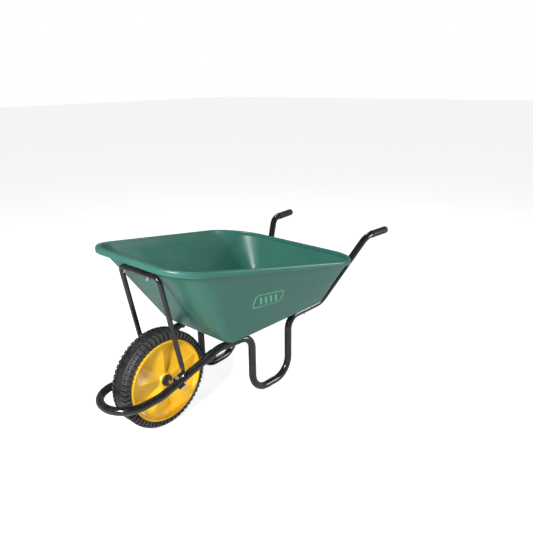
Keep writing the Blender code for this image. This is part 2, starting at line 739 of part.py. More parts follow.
def build_fasteners():
    for place in STRAPS:
        for side, word in SIDE_NAMES.items():
            build_strap_screw(place, side)
            floor = tray_bolt_place(place, side, TRAY_BOTTOM_Z + WALL)
            under = tray_bolt_place(place, side, RUN_Z + TUBE_RADIUS + GAP)
            reach = (floor - under).z + NUT_HEIGHT + 0.006
            build_bolt(f"tray_bolt_{place}_{word}", floor, DOWN, reach)
            build_nut(f"tray_nut_{place}_{word}", under, DOWN)
    for side, word in SIDE_NAMES.items():
        inside = stay_bolt_point(side, -FRONT_WALL_THICKNESS - GAP)
        bar_front = stay_bolt_point(side, 2 * (STAY_RADIUS + GAP))
        outward = bar_front - inside
        reach = outward.length + NUT_HEIGHT + 0.006
        build_bolt("stay_bolt_" + word, inside, outward, reach)
        build_nut("stay_nut_" + word, bar_front, outward)
        foot_top = rail_point(0, side, TUBE_RADIUS + GAP + FOOT_THICKNESS)
        tab_under = rail_point(0, side, -TUBE_RADIUS - GAP - FOOT_THICKNESS)
        through = tab_under - foot_top
        reach = through.length + NUT_HEIGHT + 0.009
        build_bolt("axle_bolt_" + word, foot_top, through, reach, hex_head=True)
        build_nut("axle_nut_" + word, tab_under, through)


def build_grip(side):
    """A rubber sleeve with a rounded closed end, pushed over the handle."""
    end, bend = side_tube_points(side)[:2]
    inward = (bend - end).normalized()
    bore = (TUBE_RADIUS + GAP) / math.cos(math.pi / 16)
    outline = (
        (bore, 0.0),
        (bore, GRIP_LENGTH),
        (GRIP_RADIUS - 0.0006, GRIP_LENGTH),
        (GRIP_RADIUS, GRIP_LENGTH - 0.002),
        (GRIP_RADIUS, 0.002),
        (GRIP_RADIUS - 0.003, -0.006),
        (GRIP_RADIUS - 0.009, -0.010),
    )
    return turned("grip_" + SIDE_NAMES[side], end - inward * GAP, inward, outline, 16, GRIP_RUBBER)


def hang_on_axle(pieces):
    """Gives the turning pieces a parent whose origin is on the wheel's axis."""
    axis = bpy.data.objects.new("wheel_axis", None)
    axis.location = at(0, 0, AXLE_Z)
    bpy.context.scene.collection.objects.link(axis)
    for piece in pieces:
        piece.parent = axis
        piece.matrix_parent_inverse = Matrix.Translation(-axis.location)


def main():
    clear_scene()
    for side in (LEFT, RIGHT):
        build_side_tube(side)
        build_grip(side)
    build_front_hoop()
    for place in STRAPS:
        build_strap(place)
    build_tray()
    build_stay()
    build_axle()
    hang_on_axle([build_tyre(), build_wheel_centre(), build_bush(LEFT), build_bush(RIGHT)])
    build_fasteners()


main()
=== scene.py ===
# %% [markdown]
# # A garden wheelbarrow
# The barrow is a moulded green tray on a frame of bent black tube, with one yellow wheel in front.
# The measured model is loaded first. It fixes where every piece is and how the wheel turns, so each
# piece below is made at its final place, in metres, with Z up and X pointing towards the wheel.

import json
import math

import bmesh
import bpy
from mathutils import Matrix, Vector

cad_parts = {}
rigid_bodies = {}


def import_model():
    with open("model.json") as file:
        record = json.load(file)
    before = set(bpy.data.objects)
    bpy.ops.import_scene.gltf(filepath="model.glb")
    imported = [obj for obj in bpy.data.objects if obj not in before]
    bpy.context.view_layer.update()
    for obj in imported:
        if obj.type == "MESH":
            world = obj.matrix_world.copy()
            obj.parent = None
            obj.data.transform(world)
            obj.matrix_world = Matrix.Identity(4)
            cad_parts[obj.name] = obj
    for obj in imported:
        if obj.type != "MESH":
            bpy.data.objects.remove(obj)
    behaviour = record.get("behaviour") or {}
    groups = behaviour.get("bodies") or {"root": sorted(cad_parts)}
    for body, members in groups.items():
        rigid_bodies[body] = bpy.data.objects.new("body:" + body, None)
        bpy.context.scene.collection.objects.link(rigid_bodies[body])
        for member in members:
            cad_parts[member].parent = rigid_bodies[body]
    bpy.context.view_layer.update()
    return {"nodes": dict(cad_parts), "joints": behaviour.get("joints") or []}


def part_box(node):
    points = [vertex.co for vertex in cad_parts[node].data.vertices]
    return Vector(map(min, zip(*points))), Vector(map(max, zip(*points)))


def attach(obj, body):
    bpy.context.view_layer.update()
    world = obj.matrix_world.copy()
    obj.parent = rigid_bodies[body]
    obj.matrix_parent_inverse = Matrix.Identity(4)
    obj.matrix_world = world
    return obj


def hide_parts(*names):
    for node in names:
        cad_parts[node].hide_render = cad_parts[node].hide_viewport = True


for obj in list(bpy.data.objects):
    bpy.data.objects.remove(obj)
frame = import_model()
hub = Vector(frame["joints"][0]["pos_m"])

# %% [markdown]
# ## Small helpers
# An operator works on whatever is selected, and the loaded model comes in selected. So a new piece
# always starts by dropping the selection. When a piece is done its place is moved into its mesh,
# which keeps every object at the origin, where patterns on Object coordinates sit still.

# %% Selecting, settling and dressing a piece
LEFT, RIGHT = 1, -1
SIDE_NAMES = {LEFT: "left", RIGHT: "right"}
MIRROR_MERGE = 0.0001


def drop_selection():
    bpy.ops.object.select_all(action="DESELECT")


def take(obj):
    drop_selection()
    obj.select_set(True)
    bpy.context.view_layer.objects.active = obj
    return obj


def settle():
    """Moves the active object's place and turn into its mesh."""
    bpy.ops.object.transform_apply(location=True, rotation=True, scale=True)
    return bpy.context.object


def edit_all():
    """Opens the active mesh for editing with everything in it selected."""
    bpy.ops.object.mode_set(mode="EDIT")
    bpy.ops.mesh.select_all(action="SELECT")


def leave_edit():
    bpy.ops.object.mode_set(mode="OBJECT")


def apply_modifier(obj, kind, **settings):
    take(obj)
    made = obj.modifiers.new(kind.lower(), kind)
    for name, value in settings.items():
        setattr(made, name, value)
    bpy.ops.object.modifier_apply(modifier=made.name)
    return obj


def join(*objs):
    drop_selection()
    for obj in objs:
        obj.select_set(True)
    bpy.context.view_layer.objects.active = objs[0]
    bpy.ops.object.join()
    return bpy.context.object


def mirror_across(obj):
    """Completes a left half with its mirror image on the right."""
    return apply_modifier(obj, "MIRROR", use_axis=(False, True, False), merge_threshold=MIRROR_MERGE)


def clean(obj, merge=0.00001):
    """Merges doubles, then turns every face outwards."""
    take(obj)
    edit_all()
    bpy.ops.mesh.remove_doubles(threshold=merge)
    bpy.ops.mesh.normals_make_consistent(inside=False)
    leave_edit()
    return obj


def dress(obj, name, look, body, nodes=(), angle=30):
    """Names a finished piece, smooths it, paints it and hangs it on its body."""
    take(obj)
    obj.name = obj.data.name = name
    bpy.ops.object.shade_smooth_by_angle(angle=math.radians(angle))
    obj.data.materials.clear()
    obj.data.materials.append(look)
    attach(obj, body)
    if nodes:
        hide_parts(*nodes)
    print(name, len(obj.data.polygons), "faces")
    return obj


def copy_to(master, place, direction):
    """A copy of a piece made at the origin along Z, moved to place and turned to direction."""
    take(master)
    bpy.ops.object.duplicate(linked=False)
    made = bpy.context.object
    made.location = place
    made.rotation_mode = "QUATERNION"
    made.rotation_quaternion = Vector(direction).to_track_quat("Z", "Y")
    return settle()


# %% [markdown]
# ## Three ways to make a mesh
# Almost every piece of a barrow is bent from tube, turned on a lathe or moulded. Tube is a ring of
# corners, pushed along the straights and spun round the bends. A turned piece is a profile, spun
# once round its line. A moulded piece is a ring extruded again and again, each new ring laid on the
# next outline, which is how the sloping tray gets corners that open out as they rise.

# %% Tube: push and spin a ring
TURN_STEP = math.radians(7)


def sweep_tube(points, radii, radius, sides=32, swells=()):
    """An open tube along a path. swells are pairs: length from the start, and radius factor there."""
    points = [Vector(p) for p in points]
    first = (points[1] - points[0]).normalized()
    turn = first.to_track_quat("Z", "Y").to_euler()
    drop_selection()
    bpy.ops.mesh.primitive_circle_add(vertices=sides, radius=radius, location=points[0], rotation=turn)
    settle()
    edit_all()
    here, wide = points[0], 1.0
    for reach, factor in swells:
        spot = points[0] + first * reach
        bpy.ops.mesh.extrude_edges_move(TRANSFORM_OT_translate={"value": spot - here})
        bpy.ops.transform.resize(value=(factor / wide,) * 3, center_override=spot)
        here, wide = spot, factor
    for before, corner, after, bend in zip(points, points[1:], points[2:], radii):
        back, ahead = (before - corner).normalized(), (after - corner).normalized()
        half = back.angle(ahead) / 2
        start = corner + back * (bend / math.tan(half))
        bpy.ops.mesh.extrude_edges_move(TRANSFORM_OT_translate={"value": start - here})
        centre = corner + (back + ahead).normalized() * (bend / math.sin(half))
        sweep = math.pi - 2 * half
        bpy.ops.mesh.spin(
            steps=max(2, round(sweep / TURN_STEP)), angle=sweep, center=centre, axis=back.cross(ahead)
        )
        here = corner + ahead * (bend / math.tan(half))
    bpy.ops.mesh.extrude_edges_move(TRANSFORM_OT_translate={"value": points[-1] - here})
    leave_edit()
    return clean(bpy.context.object)


# %% Lathe: spin a profile
def lathe(outline, steps=48):
    """A piece turned about Z at the origin. outline gives radius and height, corner by corner."""
    drop_selection()
    bpy.ops.mesh.primitive_plane_add(size=0.001)
    bpy.ops.object.mode_set(mode="EDIT")
    bpy.ops.mesh.merge(type="CENTER")
    here = Vector((0, 0, 0))
    corners = [Vector((radius, 0, height)) for radius, height in outline]
    bpy.ops.transform.translate(value=corners[0])
    for before, corner in zip(corners, corners[1:]):
        bpy.ops.mesh.extrude_vertices_move(TRANSFORM_OT_translate={"value": corner - before})
    bpy.ops.mesh.select_all(action="SELECT")
    bpy.ops.mesh.spin(steps=steps, angle=2 * math.pi, center=here, axis=(0, 0, 1))
    leave_edit()
    obj = clean(bpy.context.object)
    edit_all()
    bpy.ops.mesh.dissolve_degenerate(threshold=0.000001)
    leave_edit()
    return obj


# %% Moulding: extrude a ring from outline to outline
def mould(rings, filled):
    """Extrudes one ring from outline to outline. A filled ring ends in caps, an open one meets itself."""
    drop_selection()
    fill = "NGON" if filled else "NOTHING"
    bpy.ops.mesh.primitive_circle_add(vertices=len(rings[0]), radius=1.0, fill_type=fill)
    obj = bpy.context.object
    edit_all()
    bm = bmesh.from_edit_mesh(obj.data)
    order = bm.verts.layers.int.new("order")
    for point in bm.verts:
        point[order] = point.index
    for number, ring in enumerate(rings):
        if number:
            if filled:
                bpy.ops.mesh.extrude_region_move()
            else:
                bpy.ops.mesh.extrude_edges_move()
        bm = bmesh.from_edit_mesh(obj.data)
        order = bm.verts.layers.int["order"]
        for point in bm.verts:
            if point.select:
                point.co = ring[point[order]]
        bmesh.update_edit_mesh(obj.data)
    leave_edit()
    obj.data.attributes.remove(obj.data.attributes["order"])
    return clean(obj)


# %% [markdown]
# ## Finishes
# Every finish starts from Object coordinates, so its pattern keeps its real size on every piece.
# Four effects are shared: a fine grain for bumps, cloudy tone for uneven colour, settled dust that
# lies where a surface faces up, and scuffs, which are thin scratches in several directions. Each is a
# group, built once and given its own values in each finish.

# %% Shared effects as node groups
def new_group(name, inputs, outputs):
    group = bpy.data.node_groups.new(name, "ShaderNodeTree")
    group.interface.new_socket("Vector", in_out="INPUT", socket_type="NodeSocketVector")
    for label, value in inputs.items():
        socket = group.interface.new_socket(label, in_out="INPUT", socket_type="NodeSocketFloat")
        socket.default_value = value
    for label in outputs:
        group.interface.new_socket(label, in_out="OUTPUT", socket_type="NodeSocketFloat")
    return group, group.nodes.new("NodeGroupInput"), group.nodes.new("NodeGroupOutput")


def feed(tree, socket, value):
    """Sets a plain number on a socket, or links another node's output to it."""
    if isinstance(value, (int, float)):
        socket.default_value = value
    else:
        tree.links.new(value, socket)


def math_node(tree, operation, first, second, clamp=False):
    node = tree.nodes.new("ShaderNodeMath")
    node.operation = operation
    node.use_clamp = clamp
    feed(tree, node.inputs[0], first)
    feed(tree, node.inputs[1], second)
    return node.outputs[0]


def noise_node(tree, vector, scale, detail=2.0, roughness=0.5):
    node = tree.nodes.new("ShaderNodeTexNoise")
    node.inputs["Detail"].default_value = detail
    node.inputs["Roughness"].default_value = roughness
    tree.links.new(vector, node.inputs["Vector"])
    feed(tree, node.inputs["Scale"], scale)
    return node.outputs["Fac"]


def ramp_node(tree, value, low, high):
    node = tree.nodes.new("ShaderNodeMapRange")
    node.interpolation_type = "SMOOTHSTEP"
    tree.links.new(value, node.inputs["Value"])
    feed(tree, node.inputs["From Min"], low)
    feed(tree, node.inputs["From Max"], high)
    return node.outputs[0]


# %% Fine grain and cloudy tone
grain, grain_in, grain_out = new_group("Fine Grain", {"Scale": 900.0, "Blend": 0.3}, ["Height"])
fine = noise_node(grain, grain_in.outputs["Vector"], grain_in.outputs["Scale"], 3.0, 0.6)
broad_scale = math_node(grain, "MULTIPLY", grain_in.outputs["Scale"], 0.12)
broad = noise_node(grain, grain_in.outputs["Vector"], broad_scale)
mixed = math_node(grain, "MULTIPLY", broad, grain_in.outputs["Blend"])
grain.links.new(math_node(grain, "ADD", fine, mixed), grain_out.inputs["Height"])

cloud, cloud_in, cloud_out = new_group("Cloudy Tone", {"Scale": 8.0, "Low": 0.35, "High": 0.65}, ["Mask"])
soft = noise_node(cloud, cloud_in.outputs["Vector"], cloud_in.outputs["Scale"], 5.0, 0.55)
spread = ramp_node(cloud, soft, cloud_in.outputs["Low"], cloud_in.outputs["High"])
cloud.links.new(spread, cloud_out.inputs["Mask"])

# %% Settled dust and scuffs
dust, dust_in, dust_out = new_group("Settled Dust", {"Scale": 30.0, "Amount": 0.5}, ["Mask"])
normal = dust.nodes.new("ShaderNodeNewGeometry")
parts = dust.nodes.new("ShaderNodeSeparateXYZ")
dust.links.new(normal.outputs["Normal"], parts.inputs[0])
upward = ramp_node(dust, parts.outputs["Z"], 0.2, 1.0)
speckle = noise_node(dust, dust_in.outputs["Vector"], dust_in.outputs["Scale"], 8.0, 0.7)
specks = ramp_node(dust, speckle, 0.42, 0.7)
lying = math_node(dust, "MULTIPLY", upward, specks)
dust.links.new(math_node(dust, "MULTIPLY", lying, dust_in.outputs["Amount"]), dust_out.inputs["Mask"])

scuff, scuff_in, scuff_out = new_group("Scuffs", {"Scale": 60.0, "Amount": 0.5}, ["Mask"])
strokes = None
for tilt, stretch in ((0.5, (1.0, 14.0, 5.0)), (2.0, (9.0, 1.0, 16.0))):
    turned = scuff.nodes.new("ShaderNodeMapping")
    turned.inputs["Rotation"].default_value = (tilt, tilt / 2, tilt)
    turned.inputs["Scale"].default_value = stretch
    scuff.links.new(scuff_in.outputs["Vector"], turned.inputs["Vector"])
    lines = ramp_node(scuff, noise_node(scuff, turned.outputs[0], scuff_in.outputs["Scale"], 2.0), 0.66, 0.72)
    strokes = lines if strokes is None else math_node(scuff, "MAXIMUM", strokes, lines)
patches = ramp_node(scuff, noise_node(scuff, scuff_in.outputs["Vector"], 9.0), 0.5, 0.68)
shown = math_node(scuff, "MULTIPLY", strokes, patches)
scuff.links.new(math_node(scuff, "MULTIPLY", shown, scuff_in.outputs["Amount"]), scuff_out.inputs["Mask"])
print("groups", [g.name for g in bpy.data.node_groups])


# %% One finish from its parts
def place_group(tree, group, vector, **values):
    node = tree.nodes.new("ShaderNodeGroup")
    node.node_tree = group
    tree.links.new(vector, node.inputs["Vector"])
    for label, value in values.items():
        node.inputs[label].default_value = value
    return node.outputs[0]


def mix_colour(tree, mask, first, second):
    node = tree.nodes.new("ShaderNodeMix")
    node.data_type = "RGBA"
    tree.links.new(mask, node.inputs["Factor"])
    for socket, value in ((node.inputs["A"], first), (node.inputs["B"], second)):
        if isinstance(value, tuple):
            socket.default_value = (*value, 1.0)
        else:
            tree.links.new(value, socket)
    return node.outputs["Result"]


def finish(name, colours, roughness, bump, cloud_scale, dust_look, scuff_look, metallic=0.0, coat=0.0):
    """A finish: two colours clouded together, dust, scuffs, roughness between two values, and grain.

    bump is (grain scale, blend, depth); dust_look and scuff_look are (colour, scale, amount).
    """
    look = bpy.data.materials.new(name)
    look.use_nodes = True
    tree = look.node_tree
    shader = tree.nodes["Principled BSDF"]
    spot = tree.nodes.new("ShaderNodeTexCoord").outputs["Object"]
    clouds = place_group(tree, cloud, spot, Scale=cloud_scale)
    dusty = place_group(tree, dust, spot, Scale=dust_look[1], Amount=dust_look[2])
    scuffed = place_group(tree, scuff, spot, Scale=scuff_look[1], Amount=scuff_look[2])
    colour = mix_colour(tree, clouds, *colours)
    colour = mix_colour(tree, scuffed, colour, scuff_look[0])
    colour = mix_colour(tree, dusty, colour, dust_look[0])
    tree.links.new(colour, shader.inputs["Base Color"])
    smooth, dull = roughness
    uneven = math_node(tree, "MULTIPLY", clouds, dull - smooth)
    from_scuffs = math_node(tree, "MULTIPLY", scuffed, 0.25)
    from_dust = math_node(tree, "MULTIPLY", dusty, 0.4)
    marks = math_node(tree, "ADD", from_scuffs, from_dust)
    rough = math_node(tree, "ADD", math_node(tree, "ADD", uneven, smooth), marks, clamp=True)
    tree.links.new(rough, shader.inputs["Roughness"])
    height = place_group(tree, grain, spot, Scale=bump[0], Blend=bump[1])
    bumps = tree.nodes.new("ShaderNodeBump")
    bumps.inputs["Distance"].default_value = bump[2]
    bumps.inputs["Strength"].default_value = 1.0
    scratched = math_node(tree, "SUBTRACT", height, math_node(tree, "MULTIPLY", scuffed, 0.6))
    tree.links.new(scratched, bumps.inputs["Height"])
    tree.links.new(bumps.outputs[0], shader.inputs["Normal"])
    shader.inputs["Metallic"].default_value = metallic
    shader.inputs["Coat Weight"].default_value = coat
    return look


# %% [markdown]
# The tube is dipped in black enamel, which flows a little and dries glossy. The tray is satin
# moulded plastic with a faint texture from its mould. The wheel is a shinier yellow plastic. Rubber
# is matt and picks up dust. Nuts, bolts and the axle are zinc plated.

# %% The finishes of this barrow
black_enamel = finish(
    "black_enamel", ((0.006, 0.006, 0.008), (0.010, 0.010, 0.012)),
    (0.14, 0.24), (160.0, 0.6, 0.00025), 14.0,
    ((0.16, 0.15, 0.14), 60.0, 0.12), ((0.10, 0.10, 0.11), 70.0, 0.35), coat=0.35,
)
green_plastic = finish(
    "green_plastic", ((0.030, 0.150, 0.116), (0.036, 0.168, 0.132)),
    (0.32, 0.42), (1100.0, 0.5, 0.00012), 5.0,
    ((0.24, 0.30, 0.26), 26.0, 0.18), ((0.075, 0.22, 0.165), 46.0, 0.30),
)
pale_print = finish(
    "pale_print", ((0.10, 0.42, 0.27), (0.13, 0.48, 0.32)),
    (0.34, 0.44), (1300.0, 0.5, 0.0001), 40.0,
    ((0.24, 0.30, 0.26), 60.0, 0.18), ((0.07, 0.25, 0.18), 90.0, 0.35),
)
yellow_plastic = finish(
    "yellow_plastic", ((0.86, 0.46, 0.008), (0.90, 0.52, 0.016)),
    (0.28, 0.38), (900.0, 0.5, 0.0001), 9.0,
    ((0.62, 0.46, 0.20), 40.0, 0.15), ((0.93, 0.62, 0.10), 60.0, 0.25),
)
tyre_rubber = finish(
    "tyre_rubber", ((0.006, 0.006, 0.007), (0.012, 0.012, 0.013)),
    (0.40, 0.58), (1400.0, 0.6, 0.0003), 20.0,
    ((0.13, 0.13, 0.125), 55.0, 0.35), ((0.05, 0.05, 0.05), 80.0, 0.30),
)
# A much lighter rubber for the lug borders: a painted highlight, not wear.
lug_highlight_rubber = finish(
    "lug_highlight_rubber", ((0.055, 0.055, 0.058), (0.085, 0.085, 0.089)),
    (0.40, 0.52), (1400.0, 0.6, 0.0003), 20.0,
    ((0.16, 0.16, 0.155), 55.0, 0.35), ((0.03, 0.03, 0.03), 80.0, 0.30),
)
grip_rubber = finish(
    "grip_rubber", ((0.012, 0.012, 0.013), (0.020, 0.020, 0.021)),
    (0.45, 0.58), (1800.0, 0.4, 0.0002), 30.0,
    ((0.12, 0.12, 0.12), 70.0, 0.20), ((0.04, 0.04, 0.04), 90.0, 0.25),
)
black_plastic = finish(
    "black_plastic", ((0.010, 0.010, 0.011), (0.016, 0.016, 0.017)),
    (0.34, 0.48), (1500.0, 0.4, 0.00015), 30.0,
    ((0.12, 0.12, 0.12), 70.0, 0.15), ((0.05, 0.05, 0.05), 90.0, 0.25),
)
zinc_plate = finish(
    "zinc_plate", ((0.55, 0.56, 0.57), (0.68, 0.69, 0.70)),
    (0.22, 0.42), (700.0, 0.8, 0.0001), 160.0,
    ((0.34, 0.33, 0.31), 120.0, 0.30), ((0.40, 0.40, 0.40), 200.0, 0.40), metallic=1.0,
)

# %% [markdown]
# ## The frame tubes
# One 32 mm tube runs down each side. It starts at the handle, drops behind the tray, bends down into
# the leg, along the ground, and up again, and then runs forward under the tray. A ring pushed and
# spun along the path makes the bends truly round. Solidify then gives the tube its 2 mm wall.

# %% Side tubes
TUBE_RADIUS = 0.016
TUBE_WALL = 0.002
RUN_Z = 0.296
RAIL_SLOPE = math.radians(21.5)
RAIL_LIFT = 0.0202
RAIL_Y, HOOP_Y, HOOP_TAPER = 0.1174, 0.105, 0.10
JOINT_X, SOCKET_DEPTH = -0.165, 0.042
RAIL_UP = Vector((math.sin(RAIL_SLOPE), 0, math.cos(RAIL_SLOPE)))
UP, DOWN = Vector((0, 0, 1)), Vector((0, 0, -1))


def at(x, y, z):
    """A point given along X from the hub, and from the ground."""
    return Vector((hub.x + x, y, z))


def rail_point(x, side, lift=0.0):
    """A point on the sloping rail beside the wheel, lifted square to the tube."""
    y = RAIL_Y + (HOOP_Y - RAIL_Y) * x / HOOP_TAPER
    return at(x, side * y, hub.z + RAIL_LIFT - x * math.tan(RAIL_SLOPE)) + RAIL_UP * lift


def side_tube_points(side):
    front_x = (hub.z + RAIL_LIFT - RUN_Z) / math.tan(RAIL_SLOPE)
    front_y = rail_point(front_x, LEFT).y
    corners = (
        (-1.209, 0.303, 0.597),
        (-1.053, 0.291, 0.597),
        (-0.835, 0.180, RUN_Z),
        (-0.598, 0.173, RUN_Z),
        (-0.598, 0.173, TUBE_RADIUS),
        (-0.366, 0.163, TUBE_RADIUS),
        (-0.366, 0.163, RUN_Z),
        (front_x, front_y, RUN_Z),
    )
    points = [at(x, side * y, z) for x, y, z in corners]
    return points + [rail_point(JOINT_X + SOCKET_DEPTH - TUBE_WALL, side)]


TUBE_BENDS = (0.072, 0.055, 0.060, 0.088, 0.088, 0.060, 0.100)
for side, word in SIDE_NAMES.items():
    tube = sweep_tube(side_tube_points(side), TUBE_BENDS, TUBE_RADIUS)
    apply_modifier(tube, "SOLIDIFY", thickness=TUBE_WALL, offset=-1)
    dress(tube, f"side_tube_{word}", black_enamel, "frame", [f"frame_tube_{word}"])

# %% [markdown]
# ## The front hoop
# A second tube bends round in front of the wheel. Its ends are swaged out into sockets that slip over
# the side tubes, and the step shows as a small collar. It is the same on both sides, so half of it
# is made and mirrored.

# %% Hoop with swaged sockets
HOOP_Z, HOOP_TIP_X = 0.189, 0.257
SOCKET_RADIUS, SOCKET_LENGTH = 0.0185, 0.050
level_x = (hub.z + RAIL_LIFT - HOOP_Z) / math.tan(RAIL_SLOPE)
hoop_points = [
    rail_point(JOINT_X, LEFT),
    at(level_x, HOOP_Y, HOOP_Z),
    at(HOOP_TIP_X, HOOP_Y, HOOP_Z),
    at(HOOP_TIP_X, 0, HOOP_Z),
]
wide = SOCKET_RADIUS / TUBE_RADIUS
rolled_edge = ((0.0, wide - 0.05), (0.0012, wide), (SOCKET_LENGTH, wide))
shoulder = ((SOCKET_LENGTH + 0.003, wide - 0.05), (SOCKET_LENGTH + 0.007, 1.03), (SOCKET_LENGTH + 0.010, 1.0))
hoop = sweep_tube(hoop_points, (0.11, 0.104), TUBE_RADIUS, swells=rolled_edge + shoulder)
mirror_across(hoop)
clean(hoop)
apply_modifier(hoop, "SOLIDIFY", thickness=TUBE_WALL, offset=-1)
dress(hoop, "nose_hoop", black_enamel, "frame", ["front_hoop"])

# %% [markdown]
# ## The grips
# Each handle ends in a rubber sleeve with a rounded end, only a little wider than the tube. It is
# turned on the lathe with shallow finger grooves, then laid along the handle.

# %% Grips
GRIP_RADIUS, GRIP_LENGTH = 0.0176, 0.115
GROOVES, GROOVE_PITCH, GROOVE_DEPTH = 9, 0.010, 0.0006
DOME_STEPS, DOME_DEPTH = 8, 0.012
bore = TUBE_RADIUS + 0.0003
bead = GRIP_RADIUS + 0.0006
mouth = ((GRIP_RADIUS - 0.0004, 0.0), (bead, -0.0012), (bead, -0.006), (GRIP_RADIUS, -0.008))
grip_outline = [(0.0, 0.0), (bore, 0.0), (bore, GRIP_LENGTH)]
grip_outline += [(radius, GRIP_LENGTH + back) for radius, back in mouth]
for number in range(GROOVES):
    middle = GRIP_LENGTH - 0.020 - number * GROOVE_PITCH
    for offset, depth in ((0.0016, 0.0), (0.0008, 1.0), (-0.0008, 1.0), (-0.0016, 0.0)):
        grip_outline.append((GRIP_RADIUS - depth * GROOVE_DEPTH, middle + offset))
for number in range(DOME_STEPS + 1):
    swing = math.pi / 2 * number / DOME_STEPS
    grip_outline.append((GRIP_RADIUS * math.cos(swing), 0.002 - DOME_DEPTH * math.sin(swing)))
grip_outline[-1] = (0.0, 0.002 - DOME_DEPTH)
grip_master = lathe(grip_outline, 40)
for side, word in SIDE_NAMES.items():
    end, bend = side_tube_points(side)[:2]
    grip = copy_to(grip_master, end, bend - end)
    dress(grip, f"hand_grip_{word}", grip_rubber, "frame", [f"grip_{word}"])
bpy.data.objects.remove(grip_master)

# %% [markdown]
# ## The tray
# The tray is moulded in one piece: a flat floor, flat walls that lean out, corners that open up as
# they rise, and a rim that rolls over a wide lip at the front. One ring is extruded up the outside,
# over the rim and down the inside, and each ring is laid on the tray's outline at that level.

# %% The tray's outline at any level
TRAY_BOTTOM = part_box("tray")[0].z
WALL = 0.004
CORNER_STEPS = 14
SMALLEST_CORNER = 0.010
OUTLINE_KEYS = ("front", "rear", "front_y", "rear_y", "front_r", "rear_r")
FLOOR = dict(zip(OUTLINE_KEYS, (-0.197, -0.8095, 0.190, 0.2174, 0.040, 0.032)))
RIM = dict(zip(OUTLINE_KEYS, (0.101, -0.875, 0.275, 0.436, 0.136, 0.185)))
RIM_FRONT_Z, RIM_REAR_Z = 0.722, 0.551
RIM_SLOPE = (RIM_FRONT_Z - RIM_REAR_Z) / (RIM["front"] - RIM["rear"])


def tray_outline(rise, inset, dz=0.0):
    """A loop round the tray, rise 0 at the floor and 1 at the rim. inset is (front, side, rear)."""
    here = {key: FLOOR[key] + (RIM[key] - FLOOR[key]) * rise for key in FLOOR}
    front_in, side_in, rear_in = inset
    lean = math.atan2(here["rear_y"] - here["front_y"], here["front"] - here["rear"])
    quarter = []
    front_radius = max(here["front_r"] - (front_in + side_in) / 2, SMALLEST_CORNER)
    rear_radius = max(here["rear_r"] - (rear_in + side_in) / 2, SMALLEST_CORNER)
    for edge, radius, start, end, forward in (
        (here["front"] - front_in, front_radius, 0, math.pi / 2 - lean, -1),
        (here["rear"] + rear_in, rear_radius, math.pi / 2 - lean, math.pi, 1),
    ):
        middle_x = edge + forward * radius
        side_y = here["front_y"] + (here["front"] - middle_x) * math.tan(lean)
        middle_y = side_y - (side_in + radius) / math.cos(lean)
        for i in range(CORNER_STEPS + 1):
            turn = start + (end - start) * i / CORNER_STEPS
            quarter.append((middle_x + radius * math.cos(turn), middle_y + radius * math.sin(turn)))
    loop = []
    for x, y in quarter + [(x, -y) for x, y in reversed(quarter)]:
        top = RIM_FRONT_Z + (x - here["front"]) * RIM_SLOPE
        loop.append(at(x, y, TRAY_BOTTOM + (top - TRAY_BOTTOM) * rise + dz))
    return loop


# %% From the floor, over the rim and back to the floor
LIP_FRONT, LIP_SIDE = 0.022, 0.003
WALL_LOW, WALL_HIGH = 0.105, 0.92
WALL_LEVELS = (WALL_LOW, 0.35, 0.65, WALL_HIGH)
LEVEL_WALL = 0.0046  # the wall's thickness measured level
FLOOR_CURVE = (
    (0.0, 0.0560, 0.0160), (0.0018, 0.0480, 0.0110), (0.007, 0.0320, 0.0065), (0.0155, 0.0232, 0.0030),
    (0.028, 0.0145, 0.0010), (0.060, 0.0072, 0.0003),
)


def level_rows(rows, rise=1.0):
    """Rings at one level from rows of (front inset, side inset, height above the level)."""
    return [tray_outline(rise, (front, side, side), dz) for front, side, dz in rows]


def floor_rings(thickness):
    """The rounded turn from the floor into the walls, gentler at the front."""
    return [
        tray_outline(rise, (front + thickness, side + thickness, side + thickness), thickness)
        for rise, front, side in FLOOR_CURVE
    ]


def wall_rings(rises, thickness):
    """Rings on the flat walls, which stand back from the rim's edge in proportion to their height."""
    rings = []
    for rise in rises:
        front_in, side_in = LIP_FRONT * rise + thickness, LIP_SIDE * rise + thickness
        rings.append(tray_outline(rise, (front_in, side_in, side_in)))
    return rings


under_rim = level_rows(
    ((LIP_FRONT, LIP_SIDE, -0.008), (LIP_FRONT * 0.7, LIP_SIDE * 0.7, -0.006), (0.008, 0.0012, -0.006),
     (0.0075, 0.001, -0.016), (0.006, 0.0008, -0.0175), (0.0015, 0.0004, -0.0175), (0.0, 0.0, -0.016))
)
over_rim = level_rows(
    ((0.0, 0.0, -0.0045), (0.0008, 0.0006, -0.0005), (0.0028, 0.0020, 0.0026), (0.006, 0.0040, 0.0047),
     (0.010, 0.0060, 0.0056), (0.0145, 0.0078, 0.0050), (0.0180, 0.0092, 0.0036), (0.0205, 0.0102, 0.0026),
     (0.0225, 0.0118, 0.0030), (0.0255, 0.0136, 0.0031), (0.0270, 0.0148, 0.0022), (0.0280, 0.0156, 0.0002),
     (0.0284, 0.0159, -0.0030))
)
tray_rings = (
    floor_rings(0.0)
    + wall_rings(WALL_LEVELS, 0.0)
    + under_rim
    + over_rim
    + wall_rings(WALL_LEVELS[::-1], LEVEL_WALL)
    + floor_rings(WALL)[::-1]
)
tray = mould(tray_rings, filled=True)
dress(tray, "moulded_tray", green_plastic, "frame", ["tray"], angle=24)
print("tray size", tuple(round(side, 3) for side in tray.dimensions))

# %% [markdown]
# ## The emblem
# A pale green mark is printed on the left wall: a rounded frame round four slanting bars. Each shape
# is a flat outline, dropped onto the wall against its outward direction and given a little
# thickness.

